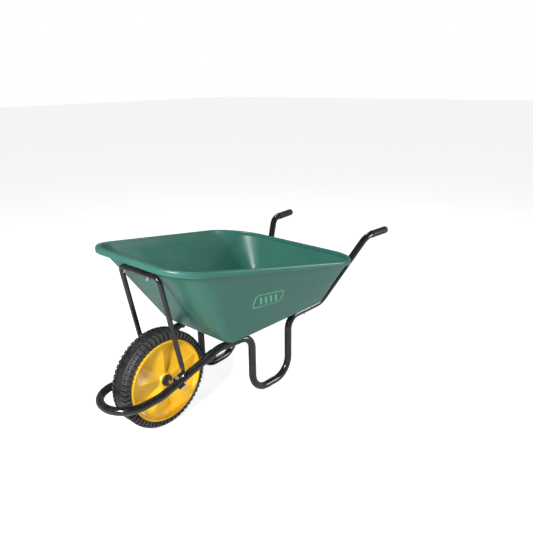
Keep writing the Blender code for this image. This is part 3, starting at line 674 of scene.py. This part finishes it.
# %% Emblem on the left wall
EMBLEM_PLACE = 0.385, 0.51  # shares of the way from the front corner to the rear, and up the wall
EMBLEM_SIZE, EMBLEM_CORNER, EMBLEM_LINE = (0.150, 0.066), 0.018, 0.0045
PRINT_THICKNESS = 0.0006
LONGEST_SIDE = 0.005
DROP_FROM = 0.05
BAR_PITCH, BAR_WIDTH, BAR_HEIGHT, BAR_LEAN = 0.026, 0.010, 0.036, 0.008


def wall_point(share, rise):
    """A point on the left wall's outer face between its corners' middles."""
    here = {key: FLOOR[key] + (RIM[key] - FLOOR[key]) * rise for key in FLOOR}
    x = here["front"] + (here["rear"] - here["front"]) * share
    y = here["front_y"] + (here["rear_y"] - here["front_y"]) * share - LIP_SIDE * rise
    top = RIM_FRONT_Z + (x - here["front"]) * RIM_SLOPE
    return at(x, y, TRAY_BOTTOM + (top - TRAY_BOTTOM) * rise)


emblem_middle = wall_point(*EMBLEM_PLACE)
emblem_along = (wall_point(0.3, EMBLEM_PLACE[1]) - wall_point(0.5, EMBLEM_PLACE[1])).normalized()
emblem_up = wall_point(EMBLEM_PLACE[0], 0.7) - wall_point(EMBLEM_PLACE[0], 0.3)
emblem_out = emblem_up.cross(emblem_along).normalized()
if emblem_out.y < 0:
    emblem_out = -emblem_out
emblem_up = (emblem_up - emblem_along * emblem_up.dot(emblem_along)).normalized()


def on_wall(flat, lift):
    """A flat point of the emblem dropped on the wall along the wall's outward direction."""
    across, high = flat
    above = emblem_middle + emblem_along * across + emblem_up * high + emblem_out * DROP_FROM
    touch = tray.ray_cast(above, -emblem_out)[1]
    return touch + emblem_out * lift


def rounded_frame(grow, steps=8):
    """A rounded rectangle, grown outwards by a distance."""
    half_wide, half_high = (side / 2 + grow for side in EMBLEM_SIZE)
    radius = EMBLEM_CORNER + grow
    loop = []
    for quarter, (right, up) in enumerate(((1, 1), (-1, 1), (-1, -1), (1, -1))):
        for i in range(steps + 1):
            turn = math.pi / 2 * (quarter + i / steps)
            middle_x, middle_y = right * (half_wide - radius), up * (half_high - radius)
            loop.append((middle_x + radius * math.cos(turn), middle_y + radius * math.sin(turn)))
    return loop


def laid(loop, lift):
    """The loop on the wall, with enough points along its sides to follow the wall's slight twist."""
    points = []
    for start, end in zip(loop, loop[1:] + loop[:1]):
        count = max(1, round(math.dist(start, end) / LONGEST_SIDE))
        for i in range(count):
            points.append([a + (b - a) * i / count for a, b in zip(start, end)])
    return [on_wall(flat, lift) for flat in points]


outer_edge, inner_edge = rounded_frame(0.0), rounded_frame(-EMBLEM_LINE)
frame_rings = [laid(outer_edge, 0.0), laid(outer_edge, PRINT_THICKNESS), laid(inner_edge, PRINT_THICKNESS)]
frame_rings += [laid(inner_edge, 0.0), laid(outer_edge, 0.0)]
prints = [mould(frame_rings, filled=False)]
for number in (-1.5, -0.5, 0.5, 1.5):
    foot = number * BAR_PITCH
    half_wide, half_high = BAR_WIDTH / 2, BAR_HEIGHT / 2
    bar_loop = [
        (foot - half_wide - BAR_LEAN, -half_high), (foot + half_wide - BAR_LEAN, -half_high),
        (foot + half_wide + BAR_LEAN, half_high), (foot - half_wide + BAR_LEAN, half_high),
    ]
    prints.append(mould([laid(bar_loop, 0.0), laid(bar_loop, PRINT_THICKNESS)], filled=True))
dress(join(*prints), "wall_emblem", pale_print, "frame")

# %% [markdown]
# ## The front stay
# A thinner tube, bent to a U, props the tray's front wall. Its ends are pressed flat and turned
# forward along the rails, where the axle bolts hold them. The ring is laid section by section here,
# because the section itself changes from round to flat.

# %% Stay with pressed feet
STAY_RADIUS = 0.010
STAY_HALF_WIDTH, STAY_TOP_Z, STAY_BOLT_Y = 0.1145, 0.667, 0.069
STAY_KNEE_X, FOOT_FRONT_X = -0.030, 0.016
FOOT_THICKNESS, FOOT_WIDTH, PRESSED_LENGTH = 0.005, 0.026, 0.034
KNEE_RADIUS, KNEE_STEPS = 0.009, 7
BAR_BEND_RADIUS, BAR_BEND_STEPS = 0.024, 10
PRESSED_STEPS = 8
GAP = 0.0003
foot_lift = TUBE_RADIUS + GAP + FOOT_THICKNESS / 2


def middle_of(points):
    return Vector((points[0].x, 0, points[0].z))


wall_low, wall_top = (middle_of(wall_rings((rise,), 0.0)[0]) for rise in (WALL_LOW, WALL_HIGH))
wall_up = (wall_top - wall_low).normalized()
wall_out = Vector((wall_up.z, 0, -wall_up.x))
bar = wall_low + wall_up * ((STAY_TOP_Z - wall_low.z) / wall_up.z) + wall_out * (STAY_RADIUS + GAP)


def rounded_path(points, radii, steps):
    """Points along a path with round corners, each with the direction of travel."""
    path = [(points[0], (points[1] - points[0]).normalized())]
    for before, corner, after, radius, count in zip(points, points[1:], points[2:], radii, steps):
        back, ahead = (before - corner).normalized(), (after - corner).normalized()
        half = back.angle(ahead) / 2
        centre = corner + (back + ahead).normalized() * (radius / math.sin(half))
        arm = corner + back * (radius / math.tan(half)) - centre
        axis = ahead.cross(back)
        for i in range(count + 1):
            turn = Matrix.Rotation((math.pi - 2 * half) * i / count, 3, axis)
            path.append((centre + turn @ arm, (turn @ -back).normalized()))
    path.append((points[-1], (points[-1] - points[-2]).normalized()))
    return path


def section(place, along, half_width, half_height, sides=28):
    """A ring across the stay. Across the bar's plane it is half_height, and in it half_width."""
    leg = (bar - rail_point(STAY_KNEE_X, LEFT)).normalized()
    plane = Vector((leg.z, 0, -leg.x)).normalized()
    high = (plane - along * plane.dot(along)).normalized()
    wide_way = along.cross(high)
    ring = []
    for i in range(sides):
        turn = 2 * math.pi * i / sides
        ring.append(place + wide_way * (half_width * math.cos(turn)) + high * (half_height * math.sin(turn)))
    return ring


knee = rail_point(STAY_KNEE_X, LEFT, foot_lift)
stay_points = [
    rail_point(FOOT_FRONT_X, LEFT, foot_lift),
    knee,
    bar + Vector((0, STAY_HALF_WIDTH, 0)),
    Vector((bar.x, 0, bar.z)),
]
stay_path = rounded_path(stay_points, (KNEE_RADIUS, BAR_BEND_RADIUS), (KNEE_STEPS, BAR_BEND_STEPS))
knee_end = KNEE_STEPS + 1
stay_rings = []
FOOT_NOSE = ((0.0, 0.35), (0.002, 0.7), (0.006, 0.93), (0.012, 1.0))
foot_way = stay_path[0][1]
foot_half_width, foot_half_height = FOOT_WIDTH / 2, FOOT_THICKNESS / 2
for reach, share in FOOT_NOSE:
    place = stay_points[0] + foot_way * reach
    stay_rings.append(section(place, foot_way, share * foot_half_width, foot_half_height))
for place, way in stay_path[1 : knee_end + 1]:
    stay_rings.append(section(place, way, foot_half_width, foot_half_height))
leg_start, leg_way = stay_path[knee_end]
for number in range(1, PRESSED_STEPS + 1):
    share = number / PRESSED_STEPS
    eased = share * share * (3 - 2 * share)
    half_width = foot_half_width + (STAY_RADIUS - foot_half_width) * eased
    half_height = foot_half_height + (STAY_RADIUS - foot_half_height) * eased
    place = leg_start + leg_way * (PRESSED_LENGTH * share)
    stay_rings.append(section(place, leg_way, half_width, half_height))
for place, way in stay_path[knee_end + 1 :]:
    stay_rings.append(section(place, way, STAY_RADIUS, STAY_RADIUS))
stay = mould(stay_rings, filled=True)
take(stay)
bpy.ops.object.mode_set(mode="EDIT")
bpy.ops.mesh.select_all(action="DESELECT")
cap = bmesh.from_edit_mesh(stay.data)
for face in cap.faces:
    face.select = all(abs(point.co.y) < MIRROR_MERGE for point in face.verts)
bmesh.update_edit_mesh(stay.data)
bpy.ops.mesh.delete(type="FACE")
leave_edit()
mirror_across(stay)
clean(stay)
dress(stay, "tray_stay", black_enamel, "frame", ["front_stay"], angle=50)

# %% [markdown]
# ## The wheel centre
# The wheel is moulded in yellow plastic. Between the boss and the rim both faces are folded like
# paper: five ridges stand out, and behind each a broad facet, a steep one and a valley follow before
# the next ridge. One ring of corners is extruded inwards and back, lying deeper where the fold is.

# %% The folded wheel centre
RIM_RADIUS, RIM_HALF_WIDTH = 0.1675, 0.050
SPOKES, COLUMNS_PER_SPOKE = 5, 40
RIDGE_AT = math.radians(87)
FOLD = ((0.0, 0.0), (0.32, 0.45), (0.46, 0.66), (0.58, 1.0), (0.72, 0.67), (1.0, 0.0))
BUSH_HALF_WIDTH, BUSH_FLANGE, BUSH_BORE = 0.049, 0.008, 0.0145
boss_y = BUSH_HALF_WIDTH - BUSH_FLANGE - GAP


def fold_depth(part):
    """How far down from ridge (0) to valley (1) the face lies, part of the way to the next ridge."""
    for (start, low), (end, high) in zip(FOLD, FOLD[1:]):
        if start <= part <= end:
            return low + (high - low) * (part - start) / (end - start)
    return 0.0


def wheel_ring(radius, ridge_y, valley_y, side):
    ring = []
    pitch = 2 * math.pi / SPOKES
    for i in range(SPOKES * COLUMNS_PER_SPOKE):
        turn = RIDGE_AT - pitch * i / COLUMNS_PER_SPOKE
        depth = fold_depth((i % COLUMNS_PER_SPOKE) / COLUMNS_PER_SPOKE)
        y = ridge_y + (valley_y - ridge_y) * depth
        ring.append(at(radius * math.cos(turn), side * y, hub.z + radius * math.sin(turn)))
    return ring


wheel_profile = (
    (BUSH_BORE, boss_y, boss_y),
    (0.0270, boss_y, boss_y),
    (0.0280, boss_y - 0.0008, boss_y - 0.0008),
    (0.0305, 0.0365, 0.0310),
    (0.0330, 0.0362, 0.0285),
    (0.0600, 0.0380, 0.0200),
    (0.1000, 0.0395, 0.0145),
    (0.1400, 0.0410, 0.0090),
    (0.1560, 0.0420, 0.0200),
    (0.1590, 0.0440, 0.0280),
    (0.1605, 0.0480, 0.0440),
    (0.1610, 0.0492, 0.0485),
    (0.1622, RIM_HALF_WIDTH, RIM_HALF_WIDTH),
    (0.1660, RIM_HALF_WIDTH, RIM_HALF_WIDTH),
    (0.1672, 0.0493, 0.0493),
    (RIM_RADIUS, 0.0480, 0.0480),
)
face_rings = [wheel_ring(*row, LEFT) for row in wheel_profile]
back_rings = [wheel_ring(*row, RIGHT) for row in reversed(wheel_profile)]
centre = mould(face_rings + back_rings + face_rings[:1], filled=False)
apply_modifier(centre, "BEVEL", width=0.0012, segments=2, limit_method="ANGLE", angle_limit=math.radians(9))
dress(centre, "folded_wheel", yellow_plastic, "wheel", ["wheel_centre"], angle=20)

# %% [markdown]
# ## The tyre
# The tyre is solid rubber with a smooth crown and a row of lugs on each shoulder. Each lug has a
# raised border round a shallow hollow; the border is painted lighter, a painted highlight. Only one
# lug's width of tyre is made: its profile is spun by one pitch, the lug is pushed out and hollowed,
# and the piece is mirrored and spun round the wheel.

# %% One pitch of tyre
LUGS = 60
LUG_SHARE, LUG_HEIGHT, LUG_BORDER, LUG_HOLLOW = 0.56, 0.0049, 0.0024, 0.0020
HOLLOW_SLOPE = 0.3  # how far the hollow's sides lean in, as a share of the border
PITCH = 2 * math.pi / LUGS
tyre_profile = (
    (RIM_RADIUS + GAP, 0.0),
    (RIM_RADIUS + GAP, 0.0395),
    (0.1695, 0.0405),
    (0.1712, 0.0412),
    (0.1800, 0.0418),
    (0.1875, 0.0412),
    (0.1915, 0.0392),
    (0.1940, 0.0355),
    (0.1950, 0.0300),
    (0.1951, 0.0215),
    (0.1962, 0.0200),
    (0.1976, 0.0188),
    (0.1984, 0.0165),
    (0.1988, 0.0090),
    (0.1990, 0.0),
)
LUG_FROM_RADIUS, LUG_TO_Y = 0.1712, 0.0215

drop_selection()
bpy.ops.mesh.primitive_plane_add(size=0.001)
bpy.ops.object.mode_set(mode="EDIT")
bpy.ops.mesh.merge(type="CENTER")
corners = [at(0, y, hub.z - radius) for radius, y in tyre_profile]
bpy.ops.transform.translate(value=corners[0])
for before, corner in zip(corners, corners[1:]):
    bpy.ops.mesh.extrude_vertices_move(TRANSFORM_OT_translate={"value": corner - before})
bpy.ops.mesh.select_all(action="SELECT")
for share in ((1 - LUG_SHARE) / 2, LUG_SHARE / 2, LUG_SHARE / 2, (1 - LUG_SHARE) / 2):
    bpy.ops.mesh.spin(steps=1, angle=PITCH * share, center=hub, axis=(0, 1, 0))
bpy.ops.mesh.select_all(action="SELECT")
bpy.ops.mesh.remove_doubles(threshold=0.00001)
bpy.ops.mesh.normals_make_consistent(inside=False)
print("tyre slice ready")

# %% Push out the lug, hollow it, and go round the wheel
slice_mesh = bmesh.from_edit_mesh(bpy.context.object.data)
for face in slice_mesh.faces:
    spot = face.calc_center_median() - hub
    radius = math.hypot(spot.x, spot.z)
    turn = math.atan2(spot.x, -spot.z)
    in_width = abs(turn - PITCH / 2) < PITCH * LUG_SHARE / 2
    on_shoulder = radius > LUG_FROM_RADIUS and spot.y > LUG_TO_Y
    face.select = in_width and on_shoulder
slice_mesh.select_flush(True)
bmesh.update_edit_mesh(bpy.context.object.data)
slice_mesh.faces.layers.int.new("lug_top")
bpy.ops.mesh.extrude_region_shrink_fatten(TRANSFORM_OT_shrink_fatten={"value": LUG_HEIGHT})


def mark_selected(value):
    marked = bmesh.from_edit_mesh(bpy.context.object.data)
    tops = marked.faces.layers.int["lug_top"]
    for face in marked.faces:
        if face.select:
            face[tops] = value
    bmesh.update_edit_mesh(bpy.context.object.data)


# The lug tops are marked for the lighter rubber, a painted highlight; the hollow's floor is unmarked again
# below.
mark_selected(1)
bpy.ops.mesh.inset(thickness=LUG_BORDER, depth=0.0)
bpy.ops.mesh.inset(thickness=LUG_BORDER * HOLLOW_SLOPE, depth=-LUG_HOLLOW)
mark_selected(0)
leave_edit()
tyre = bpy.context.object
mirror_across(tyre)
edit_all()
bpy.ops.mesh.spin(
    steps=LUGS - 1, dupli=True, angle=2 * math.pi - PITCH, center=hub, axis=(0, 1, 0)
)
leave_edit()
clean(tyre, merge=0.00002)
dress(tyre, "lugged_tyre", tyre_rubber, "wheel", ["tyre"], angle=35)
# The marked lug borders take the lighter rubber, a painted highlight.
tyre.data.materials.append(lug_highlight_rubber)
marks = tyre.data.attributes["lug_top"]
for face, mark in zip(tyre.data.polygons, marks.data):
    face.material_index = mark.value
tyre.data.attributes.remove(marks)
print("tyre size", tuple(round(side, 4) for side in tyre.dimensions))

# %% [markdown]
# ## Bearings
# A flanged plastic bearing is pressed into each side of the boss. Its round black face shows in
# front of the folds, so it gets a chamfer, a shallow ring and a raised collar round the axle.

# %% Bearings
FLANGE_RADIUS = 0.0235
bearing_outline = [
    (0.0078, -0.030), (0.0140, -0.030), (0.0140, 0.0), (0.0229, 0.0), (FLANGE_RADIUS, 0.0008),
    (FLANGE_RADIUS, 0.0056), (0.0227, 0.0072), (0.0211, 0.0080), (0.0192, 0.0080), (0.0184, 0.0066),
    (0.0128, 0.0056), (0.0122, 0.0064), (0.0118, 0.0080), (0.0108, 0.0080), (0.0090, 0.0080),
    (0.0078, 0.0072),
]
bearing_master = lathe(bearing_outline + bearing_outline[:1], 56)
for side, word in SIDE_NAMES.items():
    place = Vector((hub.x, side * (BUSH_HALF_WIDTH - BUSH_FLANGE), hub.z))
    bearing = copy_to(bearing_master, place, (0, side, 0))
    dress(bearing, f"wheel_bearing_{word}", black_plastic, "wheel", [f"wheel_bush_{word}"])
bpy.data.objects.remove(bearing_master)

# %% [markdown]
# ## Bolts, nuts and screws
# The fasteners are turned, with closed rings standing for their threads. Hexagon nuts and heads are
# turned with chamfered corners first, and a six-sided bar then trims their flats. Each kind is made
# once at the origin, and copies are laid on the lines through the measured model.

# %% Turned blanks
BOLT_RADIUS, THREAD_DEPTH, THREAD_PITCH = 0.004, 0.0005, 0.00125
NUT_RADIUS, NUT_HEIGHT = 0.0075, 0.0065
SMALL_NUT_RADIUS, SMALL_NUT_HEIGHT = 0.0058, 0.005
SCREW_RADIUS, SCREW_THREAD_FROM = 0.003, 0.020
HEAD_RADIUS, DOME_HEIGHT, HEXAGON_HEIGHT = 0.0085, 0.0045, 0.0053
DOME_CORNERS = 8
BORE_CHAMFER, CORNER_CHAMFER = 0.0005, 0.0006
TRAY_BOLT_LENGTH, THREADED_LENGTH, AXLE_THREAD = 0.027, 0.016, 0.020


def thread(radius, low, high, pitch=THREAD_PITCH, depth=THREAD_DEPTH):
    """Profile corners of a thread from low to high, with a plain chamfered end."""
    corners = []
    turns = int((high - low) / pitch)
    for number in range(turns):
        root = low + number * pitch
        corners += [(radius - depth, root), (radius, root + pitch / 2)]
    return corners + [(radius - depth, high - pitch / 2), (radius - 2 * depth, high)]


def trim_to_hexagon(obj, across, low, high):
    """Cuts six flats with a hexagonal bar, between two heights."""
    drop_selection()
    bpy.ops.mesh.primitive_cylinder_add(
        vertices=6, radius=across, depth=high - low, location=(0, 0, (low + high) / 2)
    )
    prism = settle()
    apply_modifier(obj, "BOOLEAN", operation="INTERSECT", solver="EXACT", object=prism)
    bpy.data.objects.remove(prism)
    return obj


def hexagon_blank(across, high, bore):
    """A nut or head standing on zero, across its corners, with every edge chamfered."""
    rim = across * math.cos(math.pi / 6) + CORNER_CHAMFER * 0.3
    bore_edge = bore + BORE_CHAMFER
    outline = [(bore_edge, 0.0), (rim, 0.0), (across, CORNER_CHAMFER), (across, high - CORNER_CHAMFER)]
    outline += [(rim, high), (bore_edge, high), (bore, high - BORE_CHAMFER), (bore, BORE_CHAMFER)]
    return trim_to_hexagon(lathe(outline + outline[:1]), across, -GAP, high + GAP)


# %% Nut, coach bolt, hexagon bolt and countersunk screw
nut_master = hexagon_blank(NUT_RADIUS, NUT_HEIGHT, BOLT_RADIUS + GAP)
small_nut_master = hexagon_blank(SMALL_NUT_RADIUS, SMALL_NUT_HEIGHT, SCREW_RADIUS + GAP)


def shank(length, threaded):
    """A bolt's profile from the start of its thread to the middle of its end."""
    plain = length - threaded
    turned = [(radius, -height) for radius, height in thread(BOLT_RADIUS, plain, length)]
    return [(BOLT_RADIUS, -plain)] + turned + [(0.0, -length)]


def dome_bolt(length):
    """A coach bolt: a low domed head above zero and a shank with a thread below it."""
    outline = [(0.0, DOME_HEIGHT)]
    for number in range(1, DOME_CORNERS + 1):
        swing = math.pi / 2 * number / DOME_CORNERS
        outline.append((HEAD_RADIUS * math.sin(swing), DOME_HEIGHT * math.cos(swing)))
    outline += [(HEAD_RADIUS, -0.0002), (BOLT_RADIUS, -0.0002)]
    return lathe(outline + shank(length, THREADED_LENGTH), 32)


def hexagon_bolt(length):
    head = hexagon_blank(HEAD_RADIUS, HEXAGON_HEIGHT, 0.001)
    core_top = HEXAGON_HEIGHT - 0.0004
    core = [(0.0, core_top), (BOLT_RADIUS, core_top)]
    return join(head, lathe(core + shank(length, AXLE_THREAD), 32))


def countersunk_screw(length):
    """A screw with a round recess in its flat head and a cone under it, head up at zero."""
    outline = [(0.0, -0.0010), (0.0022, -0.0010), (0.0024, 0.0), (0.0053, 0.0), (0.0056, -0.0003)]
    outline.append((SCREW_RADIUS, -0.0028))
    turns = thread(SCREW_RADIUS, SCREW_THREAD_FROM, length, 0.001, 0.0004)
    outline += [(radius, -height) for radius, height in turns]
    return lathe(outline + [(0.0, -length)], 32)


# %% Lay the fasteners on their lines
STRAPS = ("front", "rear")


def middle(node):
    low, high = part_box(node)
    return (low + high) / 2


def lay(master, name, place, direction, nodes):
    dress(copy_to(master, place, direction), name, zinc_plate, "frame", nodes, angle=35)


tray_bolt_master = dome_bolt(TRAY_BOLT_LENGTH)
for place in STRAPS:
    for word in SIDE_NAMES.values():
        bolt_node, nut_node = f"tray_bolt_{place}_{word}", f"tray_nut_{place}_{word}"
        head = middle(bolt_node)
        head.z = TRAY_BOTTOM + WALL
        lay(tray_bolt_master, f"tray_fixing_{place}_{word}", head, UP, [bolt_node])
        under = middle(nut_node)
        under.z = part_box(nut_node)[1].z
        lay(nut_master, f"tray_fixing_nut_{place}_{word}", under, DOWN, [nut_node])
bpy.data.objects.remove(tray_bolt_master)

screw_nodes = [f"strap_screw_{place}_{word}" for place in STRAPS for word in SIDE_NAMES.values()]
screw_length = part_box(screw_nodes[0])[1].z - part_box(screw_nodes[0])[0].z
screw_master = countersunk_screw(screw_length)
for node in screw_nodes:
    top = middle(node)
    top.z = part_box(node)[1].z
    lay(screw_master, node.replace("screw", "fixing"), top, UP, [node])
    nut_node = node.replace("screw", "nut")
    under = middle(nut_node)
    under.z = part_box(nut_node)[1].z
    lay(small_nut_master, nut_node.replace("strap_nut", "strap_fixing_nut"), under, DOWN, [nut_node])
bpy.data.objects.remove(screw_master)
bpy.data.objects.remove(small_nut_master)

# %% Stay bolts and axle bolts
STAY_BOLT_END, AXLE_BOLT_END = 0.006, 0.009  # what shows of each bolt past its nut
stay_reach = LEVEL_WALL + 2 * STAY_RADIUS + 4 * GAP
stay_bolt_master = dome_bolt(stay_reach + NUT_HEIGHT + STAY_BOLT_END)
clamp = 2 * (TUBE_RADIUS + GAP + FOOT_THICKNESS)
axle_bolt_master = hexagon_bolt(clamp + NUT_HEIGHT + AXLE_BOLT_END)
for side, word in SIDE_NAMES.items():
    across = Vector((0, side * STAY_BOLT_Y, 0))
    inside = bar + across - wall_out * (STAY_RADIUS + GAP + LEVEL_WALL)
    front = bar + across + wall_out * (STAY_RADIUS + GAP)
    lay(stay_bolt_master, f"stay_fixing_{word}", inside, -wall_out, [f"stay_bolt_{word}"])
    lay(nut_master, f"stay_fixing_nut_{word}", front, wall_out, [f"stay_nut_{word}"])
    above = rail_point(0, side, clamp / 2 + GAP)
    lay(axle_bolt_master, f"axle_fixing_{word}", above, RAIL_UP, [f"axle_bolt_{word}"])
    below = rail_point(0, side, -clamp / 2 - GAP)
    lay(nut_master, f"axle_fixing_nut_{word}", below, -RAIL_UP, [f"axle_nut_{word}"])
for master in (stay_bolt_master, axle_bolt_master, nut_master):
    bpy.data.objects.remove(master)

# %% [markdown]
# ## Straps and axle
# The two steel straps and the axle are plain pieces, and the measured model already has their exact
# shape. They stay as they are and only get their finishes.

# %% Dress the measured pieces that stay
for node, look in (("front_strap", black_enamel), ("rear_strap", black_enamel), ("axle", zinc_plate)):
    kept = frame["nodes"][node]
    for slot in kept.material_slots:
        slot.material = look
    print(node, "keeps its measured shape")

# %% [markdown]
# ## Stage, light and camera
# A pale floor and a surround that darkens overhead give soft light from all sides. Seen by the
# camera, the surround is white and the floor nearly so. A small strong light ahead of the wheel
# brings out the folds, a narrow one high behind the barrow puts streaks in the tray, and a soft one
# at the left rear lights the left wall.

# %% Floor
FLOOR_SIDE = 60.0
drop_selection()
bpy.ops.mesh.primitive_plane_add(size=FLOOR_SIDE, location=(0, 0, -0.0005))
floor = settle()
floor.name = "studio_floor"
SEEN_GLOW = 0.80  # how much the floor brightens where the camera sees it
paper = bpy.data.materials.new("studio_paper")
paper.use_nodes = True
paper_tree = paper.node_tree
paper_spot = paper_tree.nodes.new("ShaderNodeTexCoord").outputs["Object"]
paper_shade = place_group(paper_tree, cloud, paper_spot, Scale=1.5)
paper_tone = mix_colour(paper_tree, paper_shade, (0.72, 0.72, 0.72), (0.75, 0.75, 0.75))
sheet = paper_tree.nodes["Principled BSDF"].inputs
paper_tree.links.new(paper_tone, sheet["Base Color"])
sheet["Roughness"].default_value = 0.9
sheet["Specular IOR Level"].default_value = 0.1
sheet["Emission Color"].default_value = (1.0, 1.0, 1.0, 1.0)
paper_seen = paper_tree.nodes.new("ShaderNodeLightPath").outputs["Is Camera Ray"]
paper_tree.links.new(math_node(paper_tree, "MULTIPLY", paper_seen, SEEN_GLOW), sheet["Emission Strength"])
floor.data.materials.append(paper)

# %% Light
HORIZON, ZENITH = 0.42, 0.07
world = bpy.data.worlds.new("studio")
bpy.context.scene.world = world
world.use_nodes = True
sky = world.node_tree
sky_way = sky.nodes.new("ShaderNodeSeparateXYZ")
sky.links.new(sky.nodes.new("ShaderNodeTexCoord").outputs["Generated"], sky_way.inputs[0])
dimming = ramp_node(sky, sky_way.outputs["Z"], 0.0, 0.8)
around = math_node(sky, "SUBTRACT", HORIZON, math_node(sky, "MULTIPLY", dimming, HORIZON - ZENITH))
seen = sky.nodes.new("ShaderNodeLightPath").outputs["Is Camera Ray"]
sky.nodes["Background"].inputs["Color"].default_value = (1.0, 1.0, 1.0, 1.0)
sky.links.new(math_node(sky, "MAXIMUM", around, seen), sky.nodes["Background"].inputs["Strength"])


def soft_light(name, place, target, size, power):
    drop_selection()
    bpy.ops.object.light_add(type="AREA", location=place)
    lamp = bpy.context.object
    lamp.name = name
    lamp.data.shape = "RECTANGLE"
    lamp.data.size, lamp.data.size_y = size
    lamp.data.energy = power
    lamp.rotation_mode = "QUATERNION"
    lamp.rotation_quaternion = (Vector(target) - Vector(place)).to_track_quat("-Z", "Y")


soft_light("overhead_strip", (-1.6, -0.9, 2.6), (-0.3, -0.1, 0.35), (0.3, 1.4), 16.0)
soft_light("key", (2.5, 0.75, 1.9), (0.3, 0.0, 0.3), (0.5, 0.5), 100.0)
soft_light("near_side", (-2.0, 2.6, 0.9), (-0.3, 0.3, 0.45), (1.0, 0.8), 42.0)
bpy.context.scene.view_settings.view_transform = "Standard"

# %% Camera
AZIMUTH, ELEVATION, ROLL = math.radians(131.378), math.radians(19.409), math.radians(-0.894)
CAMERA_PLACE = (hub.x + 1.1190, 1.5607, 1.3193)
LENS, SENSOR = 36.08, 36.0
level_reach = math.cos(ELEVATION)
back = Vector((math.sin(AZIMUTH) * level_reach, -math.cos(AZIMUTH) * level_reach, math.sin(ELEVATION)))
level = UP.cross(back).normalized()
rise = back.cross(level)
across = level * math.cos(ROLL) + rise * math.sin(ROLL)
upright = rise * math.cos(ROLL) - level * math.sin(ROLL)
drop_selection()
bpy.ops.object.camera_add(location=CAMERA_PLACE)
camera = bpy.context.object
camera.rotation_euler = Matrix((across, upright, back)).transposed().to_euler()
camera.data.sensor_width, camera.data.lens = SENSOR, LENS
bpy.context.scene.camera = camera
print("camera at", CAMERA_PLACE)
